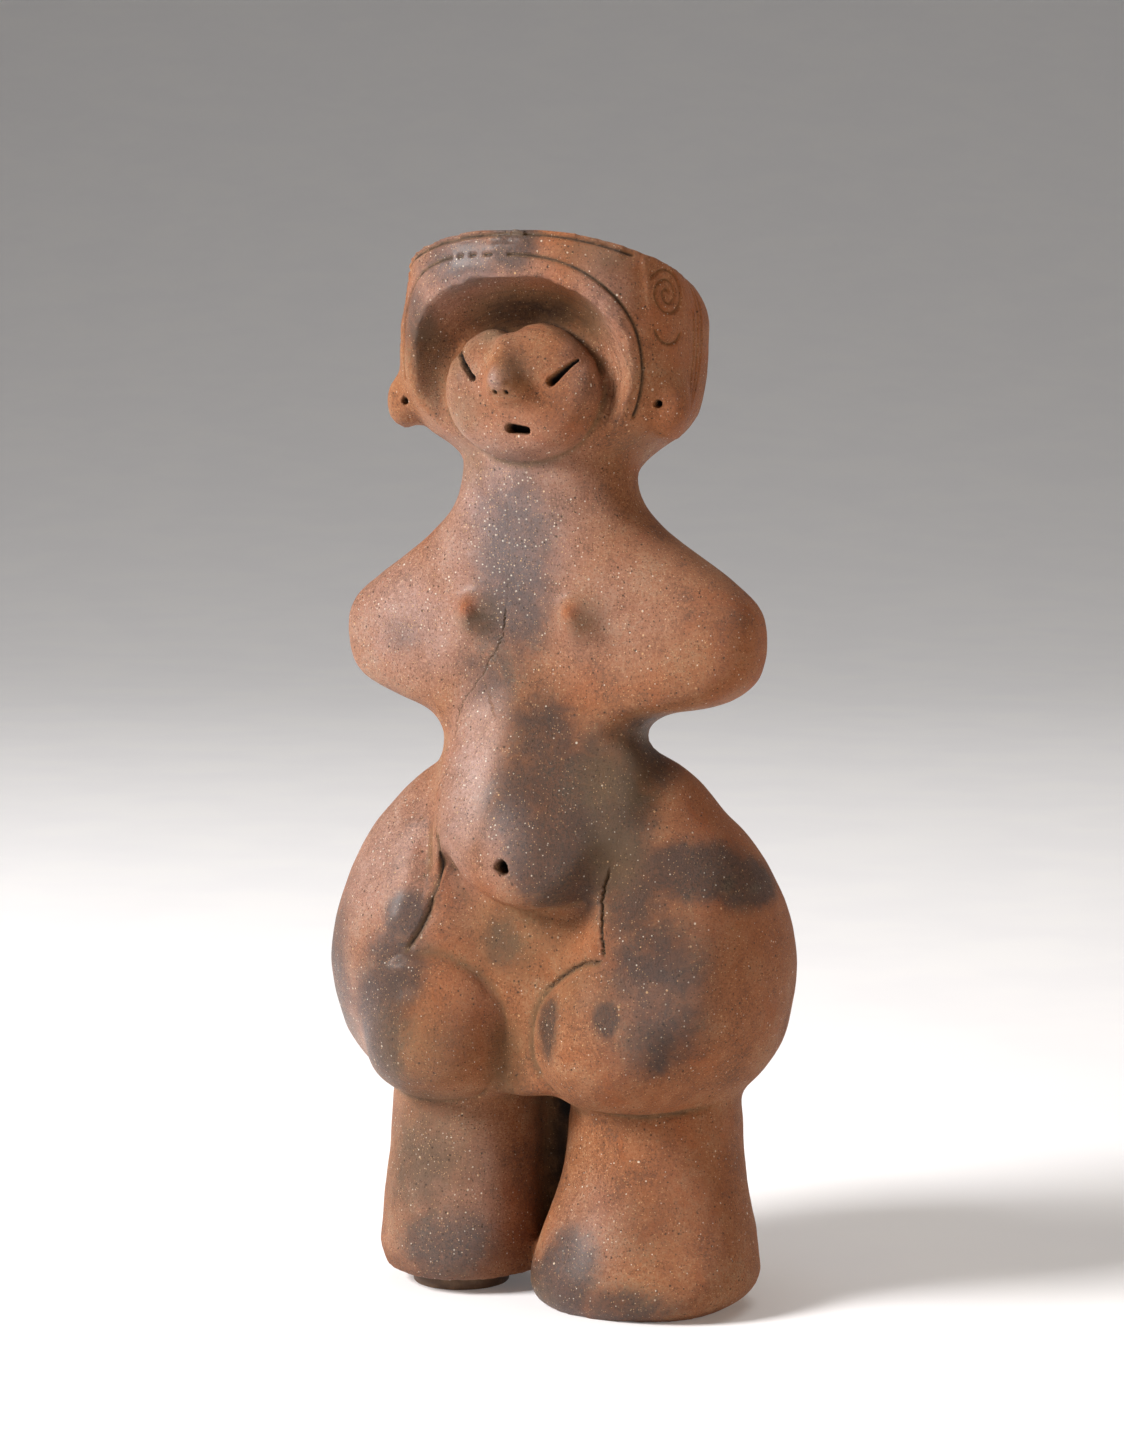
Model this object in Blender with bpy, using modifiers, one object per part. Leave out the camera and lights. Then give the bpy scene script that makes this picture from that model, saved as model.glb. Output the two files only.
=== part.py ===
"""Standing clay figure of a woman with a flat-topped headdress.

Frame: +Z up, the figure faces -Y, its own left hand is at +X, the origin is on the ground at the middle
of its outline. The form is built as a potter would: lumps of clay are set together, merged into one skin,
smoothed at the joins, pressed and incised, and pricked with a stick while the clay is soft.
"""

import math
from collections import namedtuple

import bmesh
import bpy
import numpy as np
from mathutils import Vector
from mathutils.bvhtree import BVHTree
from mathutils.kdtree import KDTree

# Driving dimensions, in metres.
HEIGHT = 0.270
PAD_DIAMETER = 0.0250
PAD_THICKNESS = 0.0034
PAD_EDGE_ROUND = 0.0006
REST_GAP = 0.0003
PAD_SHIFT = 2.0

# One unit is a 270th of the figure's height: a millimetre at full size. The lengths below are in units.
UNIT = HEIGHT / 270.0

# Working sizes of the clay skin.
SKIN_GRAIN = 1.15
JOIN_REACH = 2.0
SOFT_REACH = 5.75
SKIN_TRIANGLES = 7000

# A level slice through a lump: height, half width, half depth, centre to the back and to the left, and
# how square it is.
Slice = namedtuple("Slice", "up wide deep back side square", defaults=(0.0, 0.0, 2.0))

# How high the front edge of the crown stands, how tall the head is under it and where it starts.
CROWN_FRONT = 270.8
HEAD_TALL = 63.8
HEAD_FOOT = CROWN_FRONT - HEAD_TALL

# The trunk from the seat up into the head: waist, arm stubs, sloping shoulders and neck.
TRUNK = [
    Slice(118, 30, 24, 2, 0, 2.2),
    Slice(132, 30.5, 21.5, -2, 0, 2.2),
    Slice(138, 27.6, 20.5, -3, 0.2, 2.2),
    Slice(142.5, 26, 20, -4, -0.8, 2.2),
    Slice(146.5, 27.4, 20, -4, -0.6, 2.3),
    Slice(149.8, 33.6, 19.5, -2, -0.2, 2.4),
    Slice(152.4, 44, 19.5, -1, 2.2, 2.5),
    Slice(158, 53.2, 19, -1, 1, 2.6),
    Slice(166.5, 56, 19, 0, 0.2, 2.6),
    Slice(175.5, 54.6, 19, 0, 0.2, 2.5),
    Slice(183, 46.8, 19, -0.5, 0.4, 2.4),
    Slice(191, 35, 19, -1.5, 0.3, 2.3),
    Slice(HEAD_FOOT - 9, 26.8, 19, -2.5, 0, 2.2),
    Slice(HEAD_FOOT - 2, 22.9, 19, -3, 0, 2.1),
    Slice(HEAD_FOOT + 9, 22, 19, -2, 0, 2),
]

# The belly, which overhangs the groin at its lower end.
BELLY = [
    Slice(101.3, 8, 5, -24, 1, 2),
    Slice(103, 15.5, 9.5, -23.5, 0.5, 2),
    Slice(107, 20.8, 14, -21.5, 0, 2),
    Slice(114, 23.6, 16.5, -19.3, -0.4, 2.1),
    Slice(124, 24.6, 16.6, -16.5, -0.8, 2.1),
    Slice(136, 23.6, 15.2, -13.5, -1.2, 2),
    Slice(148, 20, 13.4, -11, -1.2, 2),
    Slice(160, 14.5, 10.8, -9.2, -0.6, 2),
    Slice(171, 9, 8, -8, 0, 2),
]

# One hip with its buttock; the other is its mirror image, but the figure's left hip rises higher.
HIP = [
    Slice(47.5, 15.5, 17, 7.5, 26.2, 2.1),
    Slice(50.5, 19.4, 21, 7.6, 26.2, 2.1),
    Slice(54, 23.4, 25, 7.4, 26.3, 2.1),
    Slice(59, 27.6, 29.5, 7, 26.6, 2),
    Slice(65, 31, 33.5, 6.4, 26.8, 2),
    Slice(74, 33.4, 36.5, 5.8, 26.9, 2),
    Slice(84, 34.5, 37.5, 5.8, 27, 2),
    Slice(93, 33.3, 36.4, 5.8, 27, 2),
    Slice(99.6, 31.6, 34, 5.6, 27, 2),
    Slice(106, 29.3, 31, 5.2, 27, 2),
    Slice(112, 26.3, 28, 4.6, 27, 2),
    Slice(118, 22.3, 24, 3.6, 27, 2),
    Slice(124, 17, 19, 2, 27, 2),
]
RIGHT_HIP_TOP = [
    Slice(130, 10.8, 13, 0, 27, 2),
    Slice(134.5, 4.5, 6, -1, 27, 2),
]
LEFT_HIP_TOP = [
    Slice(130.5, 12.4, 14, 0.5, 27.2, 2),
    Slice(135.5, 8, 9, -0.5, 27, 2),
    Slice(139.5, 3, 4, -1, 26, 2),
]

# The swelling of one thigh in front of its hip.
THIGH = [
    Slice(50.2, 14, 15, -4, 23.6, 2.1),
    Slice(52.6, 18, 20, -5.2, 23.6, 2.15),
    Slice(58, 21, 24.6, -6.8, 23.9, 2.2),
    Slice(66, 22.2, 27, -7.4, 24.3, 2.2),
    Slice(75, 22, 26.6, -7.4, 24.6, 2.2),
    Slice(81.5, 20.8, 25, -7, 24.8, 2.15),
    Slice(86.5, 17, 20.8, -6.4, 25, 2.1),
    Slice(89.6, 10, 12.5, -5.6, 25.4, 2),
    Slice(90.8, 5, 6, -5, 25.6, 2),
]

# The groin between hips, thighs and belly, down to the fork of the legs.
GROIN = [
    Slice(53, 9, 21, -1, 0, 2.5),
    Slice(58, 16, 24, -0.5, 0, 3),
    Slice(75, 26, 25.5, 0, 0, 3),
    Slice(100, 30, 26, 0, 0, 3),
    Slice(122, 27, 24, 0, 0, 2.5),
]

# The legs, from the sole up into the thighs. The figure's left foot spreads wider than its right one.
SOLE_DROP = 3
LEFT_LEG = [
    Slice(-SOLE_DROP, 20, 17, -7.6, 25, 2.2),
    Slice(0, 23.4, 20.8, -7.8, 25.0, 2.15),
    Slice(3, 27.2, 23, -7.8, 26.6, 2.3),
    Slice(7, 29, 23.8, -7.4, 27.6, 2.4),
    Slice(12, 28.5, 23.9, -5.8, 27.8, 2.3),
    Slice(18, 26.9, 23.9, -3.2, 27.6, 2.3),
    Slice(26, 24.5, 23.8, 0.2, 27, 2.2),
    Slice(36, 22.5, 23.6, 3.7, 26.4, 2.1),
    Slice(50, 21.4, 23.5, 5.5, 26, 2.1),
    Slice(66, 20, 22, 6, 26, 2),
]
RIGHT_LEG = [
    Slice(-SOLE_DROP, 18, 18.5, -2.4, -24, 1.8),
    Slice(3.2, 19.6, 20.2, -2.6, -24, 1.8),
    Slice(8, 21.6, 22.2, -2.6, -24.3, 1.85),
    Slice(14, 21.5, 23, -1.2, -24.4, 2),
    Slice(22, 21, 23.4, 1, -24.6, 2.1),
    Slice(34, 20.3, 23.5, 3.8, -24.7, 2.1),
    Slice(50, 20, 23.5, 5.5, -24.6, 2.1),
    Slice(66, 19, 22, 6, -25, 2),
]

# The web of clay that closes the gap between the legs at the back.
WEB = [
    Slice(7, 5, 3, 8, 0.4, 2),
    Slice(11, 8, 5.5, 8.5, 0.4, 2),
    Slice(22, 9, 6.5, 10.5, 0.2, 2),
    Slice(36, 9, 7.5, 13, 0, 2),
    Slice(50, 10, 8.5, 15, 0, 2),
    Slice(62, 11, 9, 15, 0, 2),
]

# The headdress, widening from the neck like a bowl.
HEADDRESS = [
    Slice(HEAD_FOOT, 19, 17.5, 0.5, 0, 2),
    Slice(HEAD_FOOT + 4, 21.8, 20, 2, 0, 2.1),
    Slice(HEAD_FOOT + 8, 26, 22.5, 3.6, 0, 2.2),
    Slice(HEAD_FOOT + 12, 31.6, 26, 3.6, 0, 2.3),
    Slice(HEAD_FOOT + 17, 35.4, 29, 2.5, 0, 2.4),
    Slice(HEAD_FOOT + 23, 37.3, 31, 1.4, -0.3, 2.5),
    Slice(HEAD_FOOT + 31, 38.2, 31.5, 1, -0.4, 2.5),
    Slice(HEAD_FOOT + 43, 38.1, 31.8, 1.2, 0, 2.5),
    Slice(CROWN_FRONT - 8.8, 37, 31.6, 1.6, 0.5, 2.5),
    Slice(CROWN_FRONT + 13.2, 36.4, 31.2, 1.6, 0.5, 2.5),
]

# The flat crown: its fall to the back, its lean and how much it is arched.
CROWN_FALL = 0.22
CROWN_LEAN = 0.008
CROWN_ARCH = 0.0043
CROWN_AT = -30.0

# The face, a domed button with a rounded rim, as slices from front to back.
FACE_BELOW_CROWN = 40.8
FACE_RISE = CROWN_FRONT - FACE_BELOW_CROWN
FACE_WIDE = 20.6
FACE_TALL = 17.4
FACE_DOME = [
    (-29.8, 0.10),
    (-29.5, 0.36),
    (-28.5, 0.60),
    (-26.6, 0.81),
    (-23.8, 0.95),
    (-20.8, 1.0),
    (-10.0, 1.0),
]

# The nose, a wedge from the notch of the brow down to a snub tip.
NOSE = [
    Slice(FACE_RISE - 2.2, 3.6, 4.5, -28.5, 0.3, 2),
    Slice(FACE_RISE - 0.6, 5.2, 7, -29, 0.2, 2),
    Slice(FACE_RISE + 2.5, 5.4, 7.6, -29.2, 0, 2),
    Slice(FACE_RISE + 7, 4.2, 6.4, -27.8, -0.6, 2),
    Slice(FACE_RISE + 11.5, 3, 4.4, -26.4, -1.6, 2),
    Slice(FACE_RISE + 14.5, 2, 2.5, -25.2, -2.4, 2),
]

# Lumps shaped like an egg: centre and radii.
Egg = namedtuple("Egg", "centre radii")
BREAST = Egg((14.0, -16.5, 173.0), (8.4, 4.6, 8.6))
NIPPLE = Egg((14.0, -20.4, 173.4), (3.2, 3.8, 3.2))
EAR = Egg((35.9, -9.8, HEAD_FOOT + 20.0), (5.0, 6.2, 7.1))
LEFT_EAR_SWELL = Egg((33.6, -6.0, HEAD_FOOT + 19.2), (5.0, 9.4, 9.2))
FLANK = Egg((14.5, -9.0, 119.0), (19.5, 16.5, 30.0))
HOLLOW = Egg((-0.6, -25.0, FACE_RISE + 4.4), (29.4, 13.0, 24.8))

# Places that are smoothed more, where one form flows into the next: centre and reach.
SOFT_JOINS = [
    ((0, 8, 132), 44),
    ((0, 0, HEAD_FOOT), 13),
    ((30, 26, 62), 22),
    ((-30, 26, 62), 22),
    ((45, -4, 76), 24),
    ((-45, -4, 76), 24),
    ((22, -20, 120), 26),
    ((0, -22, 152), 24),
    ((14, -18, 173), 12),
    ((-14, -18, 173), 12),
    ((0, -14, 165), 22),
    ((37, -8, HEAD_FOOT + 21), 13),
]

# Creases. Each is a smooth line through its points, as (across, up) from the front.
Crease = namedtuple("Crease", "points wide deep")
LEFT_THIGH_EDGE = Crease([(23.2, 108), (22.1, 94), (23, 86)], 1.2, 0.5)
LEFT_THIGH_TOP = Crease(
    [(23, 86), (14.2, 83.6), (6.6, 79), (3.1, 71.3), (2.8, 61.5), (4.4, 54)], 1.9, 1.5
)
RIGHT_THIGH_EDGE = Crease([(-24.6, 126), (-24.8, 114), (-26.5, 100), (-33, 88)], 2.0, 1.8)
RIGHT_THIGH_TOP = Crease(
    [(-33, 88), (-18.4, 87.8), (-7.4, 81.6), (-4, 73.8), (-4.4, 62), (-5.4, 54)], 1.9, 1.6
)

# The groin panel lies inside the four creases above and under the belly, pressed in by this much. It
# fades out behind the rim of the belly.
PANEL_DEEP = 2.4
PANEL_EDGE = 2.4
PANEL_TOP = BELLY[1].up + 0.5
PANEL_FADE = 3.0
PANEL_BEHIND = -12.0

# Lines drawn into the headdress with a stick of this radius.
STICK_RADIUS = 0.62
STICK_SINK = 0.12
ARCH_CENTRE = (-0.7, CROWN_FRONT - 34.8)
ARCH_RADII = (32.0, 27.4)
ARCH_SQUARE_LEFT = 2.3
ARCH_SQUARE_RIGHT = 3.3
ARCH_FROM = math.radians(-26)
ARCH_TO = math.radians(186)
RIM_LINE_DROP = 2.4
RIM_LINE_FROM = -33.0
RIM_LINE_TO = 29.0
SPIRAL_AT = (-13.5, CROWN_FRONT - 17.4)
SPIRAL_RADIUS = 5.4
SPIRAL_TURNS = 2.3
SPIRAL_FROM = math.radians(-110)
SMILE_AT = (-13.0, CROWN_FRONT - 24.6)
SMILE_RADIUS = 4.4
BACK_LINES_AT = (3.0, 6.0)
BACK_LINE_TOP = CROWN_FRONT - 20.8
BACK_LINE_FOOT = CROWN_FRONT - 44.8

# The sunk corner between the two lines on the figure's left, as (across, below the crown).
FACET_LEFT = [(20.5, 8.4), (32.6, 11.2), (33.0, 24.8), (31.0, 24.8), (27.4, 16.8)]
FACET_DEEP = 0.8
FACET_EDGE = 1.2

# Pricked holes, each a tapering stick pushed in along +Y: place, half width, half height, depth, turn.
Prick = namedtuple("Prick", "at wide tall deep turn", defaults=(0.0,))
EYE_SLANT = math.radians(46)
EYE_INNER = (10.2, FACE_RISE + 2.0)
EYE_LENGTH = 9.6
EYE_WIDE = 0.95
EYE_DEEP = 4.2
EYE_THIN = 0.8
EYE_STEPS = 7
STICK_TIP = 0.45
STICK_BUTT = 1.25
OUTSIDE = 3.0
MOUTH = Prick((1.4, FACE_RISE - 9.2), 3.4, 1.15, 5.0, math.radians(-5))
NAVEL = Prick((0.6, 113.4), 1.7, 1.9, 5.0)
NOSTRILS = [Prick((x, FACE_RISE + 0.2), 0.65, 0.6, 1.6) for x in (-1.5, 1.5)]
EAR_HOLE = Prick((EAR.centre[0] - 1.9, EAR.centre[2] + 0.2), 1.0, 1.2, 4.0)

CLAY = (0.46, 0.22, 0.13, 1.0)
LEATHER = (0.16, 0.09, 0.045, 1.0)


def clear_scene():
    """Start from an empty scene."""
    for thing in list(bpy.data.objects):
        bpy.data.objects.remove(thing, do_unlink=True)


def new_collection(name, hidden=False):
    """A collection of its own for finished parts or for working pieces."""
    made = bpy.data.collections.new(name)
    bpy.context.scene.collection.children.link(made)
    made.hide_render = hidden
    return made


def new_object(name, bm, collection):
    """Turn a bmesh into an object in a collection."""
    mesh = bpy.data.meshes.new(name)
    bm.to_mesh(mesh)
    bm.free()
    made = bpy.data.objects.new(name, mesh)
    collection.objects.link(made)
    return made


def plain_material(name, colour, roughness):
    """A Principled material with one colour."""
    made = bpy.data.materials.new(name)
    made.use_nodes = True
    shader = made.node_tree.nodes["Principled BSDF"]
    shader.inputs["Base Color"].default_value = colour
    shader.inputs["Roughness"].default_value = roughness
    shader.inputs["Metallic"].default_value = 0.0
    return made


def smooth_through(points, steps):
    """A Catmull-Rom curve through points, with steps samples to each span."""
    knots = np.array(points, float)
    padded = np.vstack([2 * knots[0] - knots[1], knots, 2 * knots[-1] - knots[-2]])
    out = []
    for a, b, c, d in zip(padded, padded[1:], padded[2:], padded[3:]):
        for t in np.arange(steps) / steps:
            out.append(
                0.5 * (2 * b + (c - a) * t + (2 * a - 5 * b + 4 * c - d) * t**2
                       + (3 * b - a - 3 * c + d) * t**3)
            )
    out.append(knots[-1])
    return np.array(out)


def mirrored(slices):
    """The same slices on the other side of the body."""
    return [s._replace(side=-s.side) for s in slices]


def add_loft(bm, slices, around=56, steps=4):
    """Add a closed lump lofted through level slices."""
    rings = []
    for up, wide, deep, back, side, square in smooth_through(slices, steps):
        ring = []
        for k in range(around):
            turn = math.tau * k / around
            c, s = math.cos(turn), math.sin(turn)
            x = side + wide * math.copysign(abs(c) ** (2 / square), c)
            y = back + deep * math.copysign(abs(s) ** (2 / square), s)
            ring.append(bm.verts.new(Vector((x, y, up)) * UNIT))
        rings.append(ring)
    for low, high in zip(rings, rings[1:]):
        for k in range(around):
            n = (k + 1) % around
            bm.faces.new((low[k], low[n], high[n], high[k]))
    bm.faces.new(reversed(rings[0]))
    bm.faces.new(rings[-1])


def add_egg(bm, egg, side=1, segments=40):
    """Add an ellipsoid, mirrored to the other side where side is -1."""
    ball = bmesh.ops.create_uvsphere(bm, u_segments=segments, v_segments=segments // 2, radius=1.0)
    for v in ball["verts"]:
        x = side * egg.centre[0] + egg.radii[0] * v.co.x
        y = egg.centre[1] + egg.radii[1] * v.co.y
        v.co = Vector((x, y, egg.centre[2] + egg.radii[2] * v.co.z)) * UNIT


def add_face(bm, around=64):
    """Add the domed button of the face, with the notch of the brow pressed into its top edge."""
    rings = []
    for y, share in FACE_DOME:
        ring = []
        for k in range(around):
            turn = math.tau * k / around
            x, z = FACE_WIDE * math.cos(turn), FACE_TALL * math.sin(turn)
            notch = 4.2 * math.exp(-(((x + 3.0) / 3.6) ** 2)) if z > 0 else 0.0
            ring.append(bm.verts.new(Vector((share * x, y, FACE_RISE + share * (z - notch))) * UNIT))
        rings.append(ring)
    for front, behind in zip(rings, rings[1:]):
        for k in range(around):
            n = (k + 1) % around
            bm.faces.new((front[k], front[n], behind[n], behind[k]))
    bm.faces.new(reversed(rings[0]))
    bm.faces.new(rings[-1])


def crown_height(x, y):
    """Height of the flat crown over a point, all in units."""
    return CROWN_FRONT - CROWN_FALL * (y - CROWN_AT) + CROWN_LEAN * x - CROWN_ARCH * x * x


def headdress_lump(working):
    """The headdress with its crown pressed flat and the hollow round the face scooped out."""
    bm = bmesh.new()
    add_loft(bm, HEADDRESS, around=72, steps=6)
    for v in bm.verts:
        top = crown_height(v.co.x / UNIT, v.co.y / UNIT) * UNIT
        v.co.z = min(v.co.z, top)
    bmesh.ops.remove_doubles(bm, verts=bm.verts, dist=0.02 * UNIT)
    bmesh.ops.recalc_face_normals(bm, faces=bm.faces)
    lump = new_object("headdress_lump", bm, working)
    bm = bmesh.new()
    add_egg(bm, HOLLOW, segments=56)
    scoop = new_object("hollow_scoop", bm, working)
    cut(lump, [scoop])
    return lump


def apply_modifiers(thing):
    """Fix the evaluated shape of an object into its own mesh."""
    graph = bpy.context.evaluated_depsgraph_get()
    made = bpy.data.meshes.new_from_object(thing.evaluated_get(graph))
    thing.modifiers.clear()
    thing.data = made


def cut(body, cutters, operation="DIFFERENCE"):
    """Cut the cutters out of a body with exact Booleans, and put the cutters away."""
    for cutter in cutters:
        tool = body.modifiers.new(cutter.name, "BOOLEAN")
        tool.operation = operation
        tool.solver = "EXACT"
        tool.object = cutter
        cutter.display_type = "WIRE"
        cutter.hide_render = True
    apply_modifiers(body)


def merged_skin(working):
    """Set all the lumps together and merge them into one closed skin."""
    head = headdress_lump(working)
    bm = bmesh.new()
    hips = (HIP + LEFT_HIP_TOP, mirrored(HIP + RIGHT_HIP_TOP), THIGH, mirrored(THIGH))
    for slices in (TRUNK, BELLY, GROIN, *hips, LEFT_LEG, RIGHT_LEG, WEB, NOSE):
        add_loft(bm, slices)
    add_face(bm)
    for side in (-1, 1):
        for egg in (BREAST, NIPPLE, EAR):
            add_egg(bm, egg, side)
    add_egg(bm, FLANK)
    add_egg(bm, LEFT_EAR_SWELL)
    bm.from_mesh(head.data)
    bmesh.ops.recalc_face_normals(bm, faces=bm.faces)
    skin = new_object("skin", bm, working)
    bpy.data.objects.remove(head, do_unlink=True)
    merge = skin.modifiers.new("merge", "REMESH")
    merge.mode = "VOXEL"
    merge.voxel_size = SKIN_GRAIN * UNIT
    apply_modifiers(skin)
    return skin


def passes(reach):
    """How many smoothing passes blur the skin over a reach."""
    return round(2 * (reach / SKIN_GRAIN) ** 2)


def smooth_joins(skin):
    """Round every join a little, and the places of SOFT_JOINS a lot."""
    group = skin.vertex_groups.new(name="soft")
    for v in skin.data.vertices:
        at = v.co / UNIT
        near = max(1 - (at - Vector(c)).length / reach for c, reach in SOFT_JOINS)
        if near > 0:
            group.add([v.index], min(1.0, 2 * near), "REPLACE")
    even = skin.modifiers.new("joins", "SMOOTH")
    even.iterations = passes(JOIN_REACH)
    soft = skin.modifiers.new("soft_joins", "SMOOTH")
    soft.iterations = passes(SOFT_REACH)
    soft.vertex_group = "soft"
    apply_modifiers(skin)


def spiral(centre, radius, turns, start, step=1.7):
    """Points of a flat spiral, from its open outer end at a start angle to its heart."""
    count = int(turns * math.tau * radius / 2 / step)
    out = []
    for k in range(count + 1):
        share = k / count
        turn = start + turns * math.tau * share
        r = radius * (1 - 0.86 * share)
        out.append((centre[0] + r * math.cos(turn), centre[1] + r * math.sin(turn)))
    return out


def ellipse_arc(centre, radii, start, end, count=60):
    """Points along an arc of an ellipse."""
    turns = np.linspace(start, end, count)
    return [(centre[0] + radii[0] * math.cos(t), centre[1] + radii[1] * math.sin(t)) for t in turns]


def arch_line():
    """The line of the hood round the face: half an ellipse, squarer on the figure's right."""
    out = []
    for turn in np.linspace(ARCH_FROM, ARCH_TO, 27):
        square = ARCH_SQUARE_LEFT if turn < math.pi / 2 else ARCH_SQUARE_RIGHT
        if turn < 0 or turn > math.pi:
            square = 2.0
        c, s = math.cos(turn), math.sin(turn)
        x = ARCH_RADII[0] * math.copysign(abs(c) ** (2 / square), c)
        z = ARCH_RADII[1] * math.copysign(abs(s) ** (2 / square), s)
        out.append((ARCH_CENTRE[0] + x, ARCH_CENTRE[1] + z))
    return out


def rim_line():
    """The line that follows the crown round the front of the headdress."""
    front = HEADDRESS[-2]
    out = []
    for x in np.linspace(RIM_LINE_FROM, RIM_LINE_TO, 20):
        bend = (1 - abs(x / front.wide) ** front.square) ** (1 / front.square)
        y = front.back - front.deep * bend
        out.append((x, crown_height(x, y) - RIM_LINE_DROP))
    return out


def drawn_lines():
    """Every line drawn into the headdress, as (view, dense points)."""
    lines = [("front", arch_line()), ("front", rim_line())]
    smile = ellipse_arc(SMILE_AT, (SMILE_RADIUS, SMILE_RADIUS), math.radians(200), math.radians(325), 6)
    halfway = (BACK_LINE_TOP + BACK_LINE_FOOT) / 2
    for view in ("left", "right"):
        lines += [(view, spiral(SPIRAL_AT, SPIRAL_RADIUS, SPIRAL_TURNS, SPIRAL_FROM)), (view, smile)]
        for back in BACK_LINES_AT:
            ends = [(back, BACK_LINE_TOP), (back + 1, halfway), (back - 3, BACK_LINE_FOOT)]
            lines.append((view, smooth_through(ends, 3)))
    return lines


# Where a drawn point is looked for on the skin: the start of the sight line, and its direction.
SIGHTS = {
    "front": (lambda a, b: (a, -100, b), (0, 1, 0)),
    "left": (lambda a, b: (100, a, b), (-1, 0, 0)),
    "right": (lambda a, b: (-100, a, b), (1, 0, 0)),
}


def on_skin(tree, view, points, sink=0.0):
    """Put drawn points onto the skin or under it, along the sight lines of their view."""
    start, direction = SIGHTS[view]
    found = []
    for a, b in points:
        hit, normal = tree.ray_cast(Vector(start(a, b)) * UNIT, Vector(direction))[:2]
        if hit is not None:
            found.append(hit - normal * (sink * UNIT))
    return found


def kd_of(points):
    """A search tree of points."""
    tree = KDTree(len(points))
    for k, p in enumerate(points):
        tree.insert(p, k)
    tree.balance()
    return tree


def carve(bm, path, wide, deep):
    """Press a round-bottomed crease into the skin along a path."""
    tree = kd_of(path)
    moves = []
    for v in bm.verts:
        away = tree.find(v.co)[2] / UNIT
        if away < 2.2 * wide:
            moves.append((v, v.normal * (-deep * UNIT * math.exp(-((away / (0.75 * wide)) ** 2)))))
    for v, move in moves:
        v.co += move


def inside(outline, x, z):
    """True if a point is inside a closed outline."""
    hit = False
    for (xa, za), (xb, zb) in zip(outline, outline[1:] + outline[:1]):
        if (za > z) != (zb > z) and x < (xb - xa) * (z - za) / (zb - za) + xa:
            hit = not hit
    return hit


def press(bm, outline, deep, edge, below, behind):
    """Press the skin in inside an outline drawn from the front, with a soft step along its border."""
    closed = outline + outline[:1]
    border = kd_of([Vector((x, 0, z)) for x, z in smooth_through(closed, 3)])
    for v in bm.verts:
        x, y, z = v.co / UNIT
        if y > behind or v.normal.y > -0.3 or not inside(outline, x, z):
            continue
        share = min(1.0, border.find(Vector((x, 0, z)))[2] / edge)
        under = min(1.0, max(0.0, (below - z) / PANEL_FADE))
        v.co += v.normal * (-deep * UNIT * share * share * (3 - 2 * share) * under)


def groin_outline():
    """The outline of the groin panel: down the one thigh and up the other."""
    halves = []
    for edge, top in ((LEFT_THIGH_EDGE, LEFT_THIGH_TOP), (RIGHT_THIGH_EDGE, RIGHT_THIGH_TOP)):
        points = list(smooth_through(edge.points, 6)) + list(smooth_through(top.points, 6))
        halves.append([tuple(p) for p in points])
    return halves[0] + halves[1][::-1]


def crease(skin):
    """Press in the groin and the corners of the headdress, and crease the thighs."""
    bm = bmesh.new()
    bm.from_mesh(skin.data)
    tree = BVHTree.FromBMesh(bm)
    creases = (LEFT_THIGH_EDGE, LEFT_THIGH_TOP, RIGHT_THIGH_EDGE, RIGHT_THIGH_TOP)
    paths = [(on_skin(tree, "front", smooth_through(c.points, 12)), c.wide, c.deep) for c in creases]
    press(bm, groin_outline(), PANEL_DEEP, PANEL_EDGE, PANEL_TOP, PANEL_BEHIND)
    for side in (-1, 1):
        facet = [(side * x, CROWN_FRONT - below) for x, below in FACET_LEFT]
        press(bm, facet, FACET_DEEP, FACET_EDGE, math.inf, 0)
    bm.normal_update()
    for path, wide, deep in paths:
        carve(bm, path, wide, deep)
    bm.to_mesh(skin.data)
    bm.free()


def drawing_stick(tree, working):
    """The path of the stick through the clay along every drawn line, as one round sweep for each."""
    sweep = bpy.data.curves.new("drawing_stick", "CURVE")
    sweep.dimensions = "3D"
    sweep.bevel_depth = STICK_RADIUS * UNIT
    sweep.bevel_resolution = 0
    sweep.use_fill_caps = True
    for view, points in drawn_lines():
        path = on_skin(tree, view, points, STICK_SINK)
        line = sweep.splines.new("POLY")
        line.points.add(len(path) - 1)
        for knot, place in zip(line.points, path):
            knot.co = (*place, 1.0)
    drawn = bpy.data.objects.new("drawing_stick", sweep)
    working.objects.link(drawn)
    graph = bpy.context.evaluated_depsgraph_get()
    swept = bpy.data.meshes.new_from_object(drawn.evaluated_get(graph))
    solid = bpy.data.objects.new("drawn_lines", swept)
    working.objects.link(solid)
    bpy.data.objects.remove(drawn, do_unlink=True)
    return solid


def thin_out(skin):
    """Reduce the skin to its budget of triangles, keeping the most where it bends the most."""
    triangles = sum(len(face.vertices) - 2 for face in skin.data.polygons)
    tool = skin.modifiers.new("thin_out", "DECIMATE")
    tool.ratio = min(1.0, SKIN_TRIANGLES / triangles)
    tool.use_collapse_triangulate = True
    apply_modifiers(skin)
    bm = bmesh.new()
    bm.from_mesh(skin.data)
    bmesh.ops.dissolve_degenerate(bm, dist=0.02 * UNIT, edges=bm.edges)
    bmesh.ops.triangulate(bm, faces=bm.faces)
    bm.to_mesh(skin.data)
    bm.free()


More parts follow.
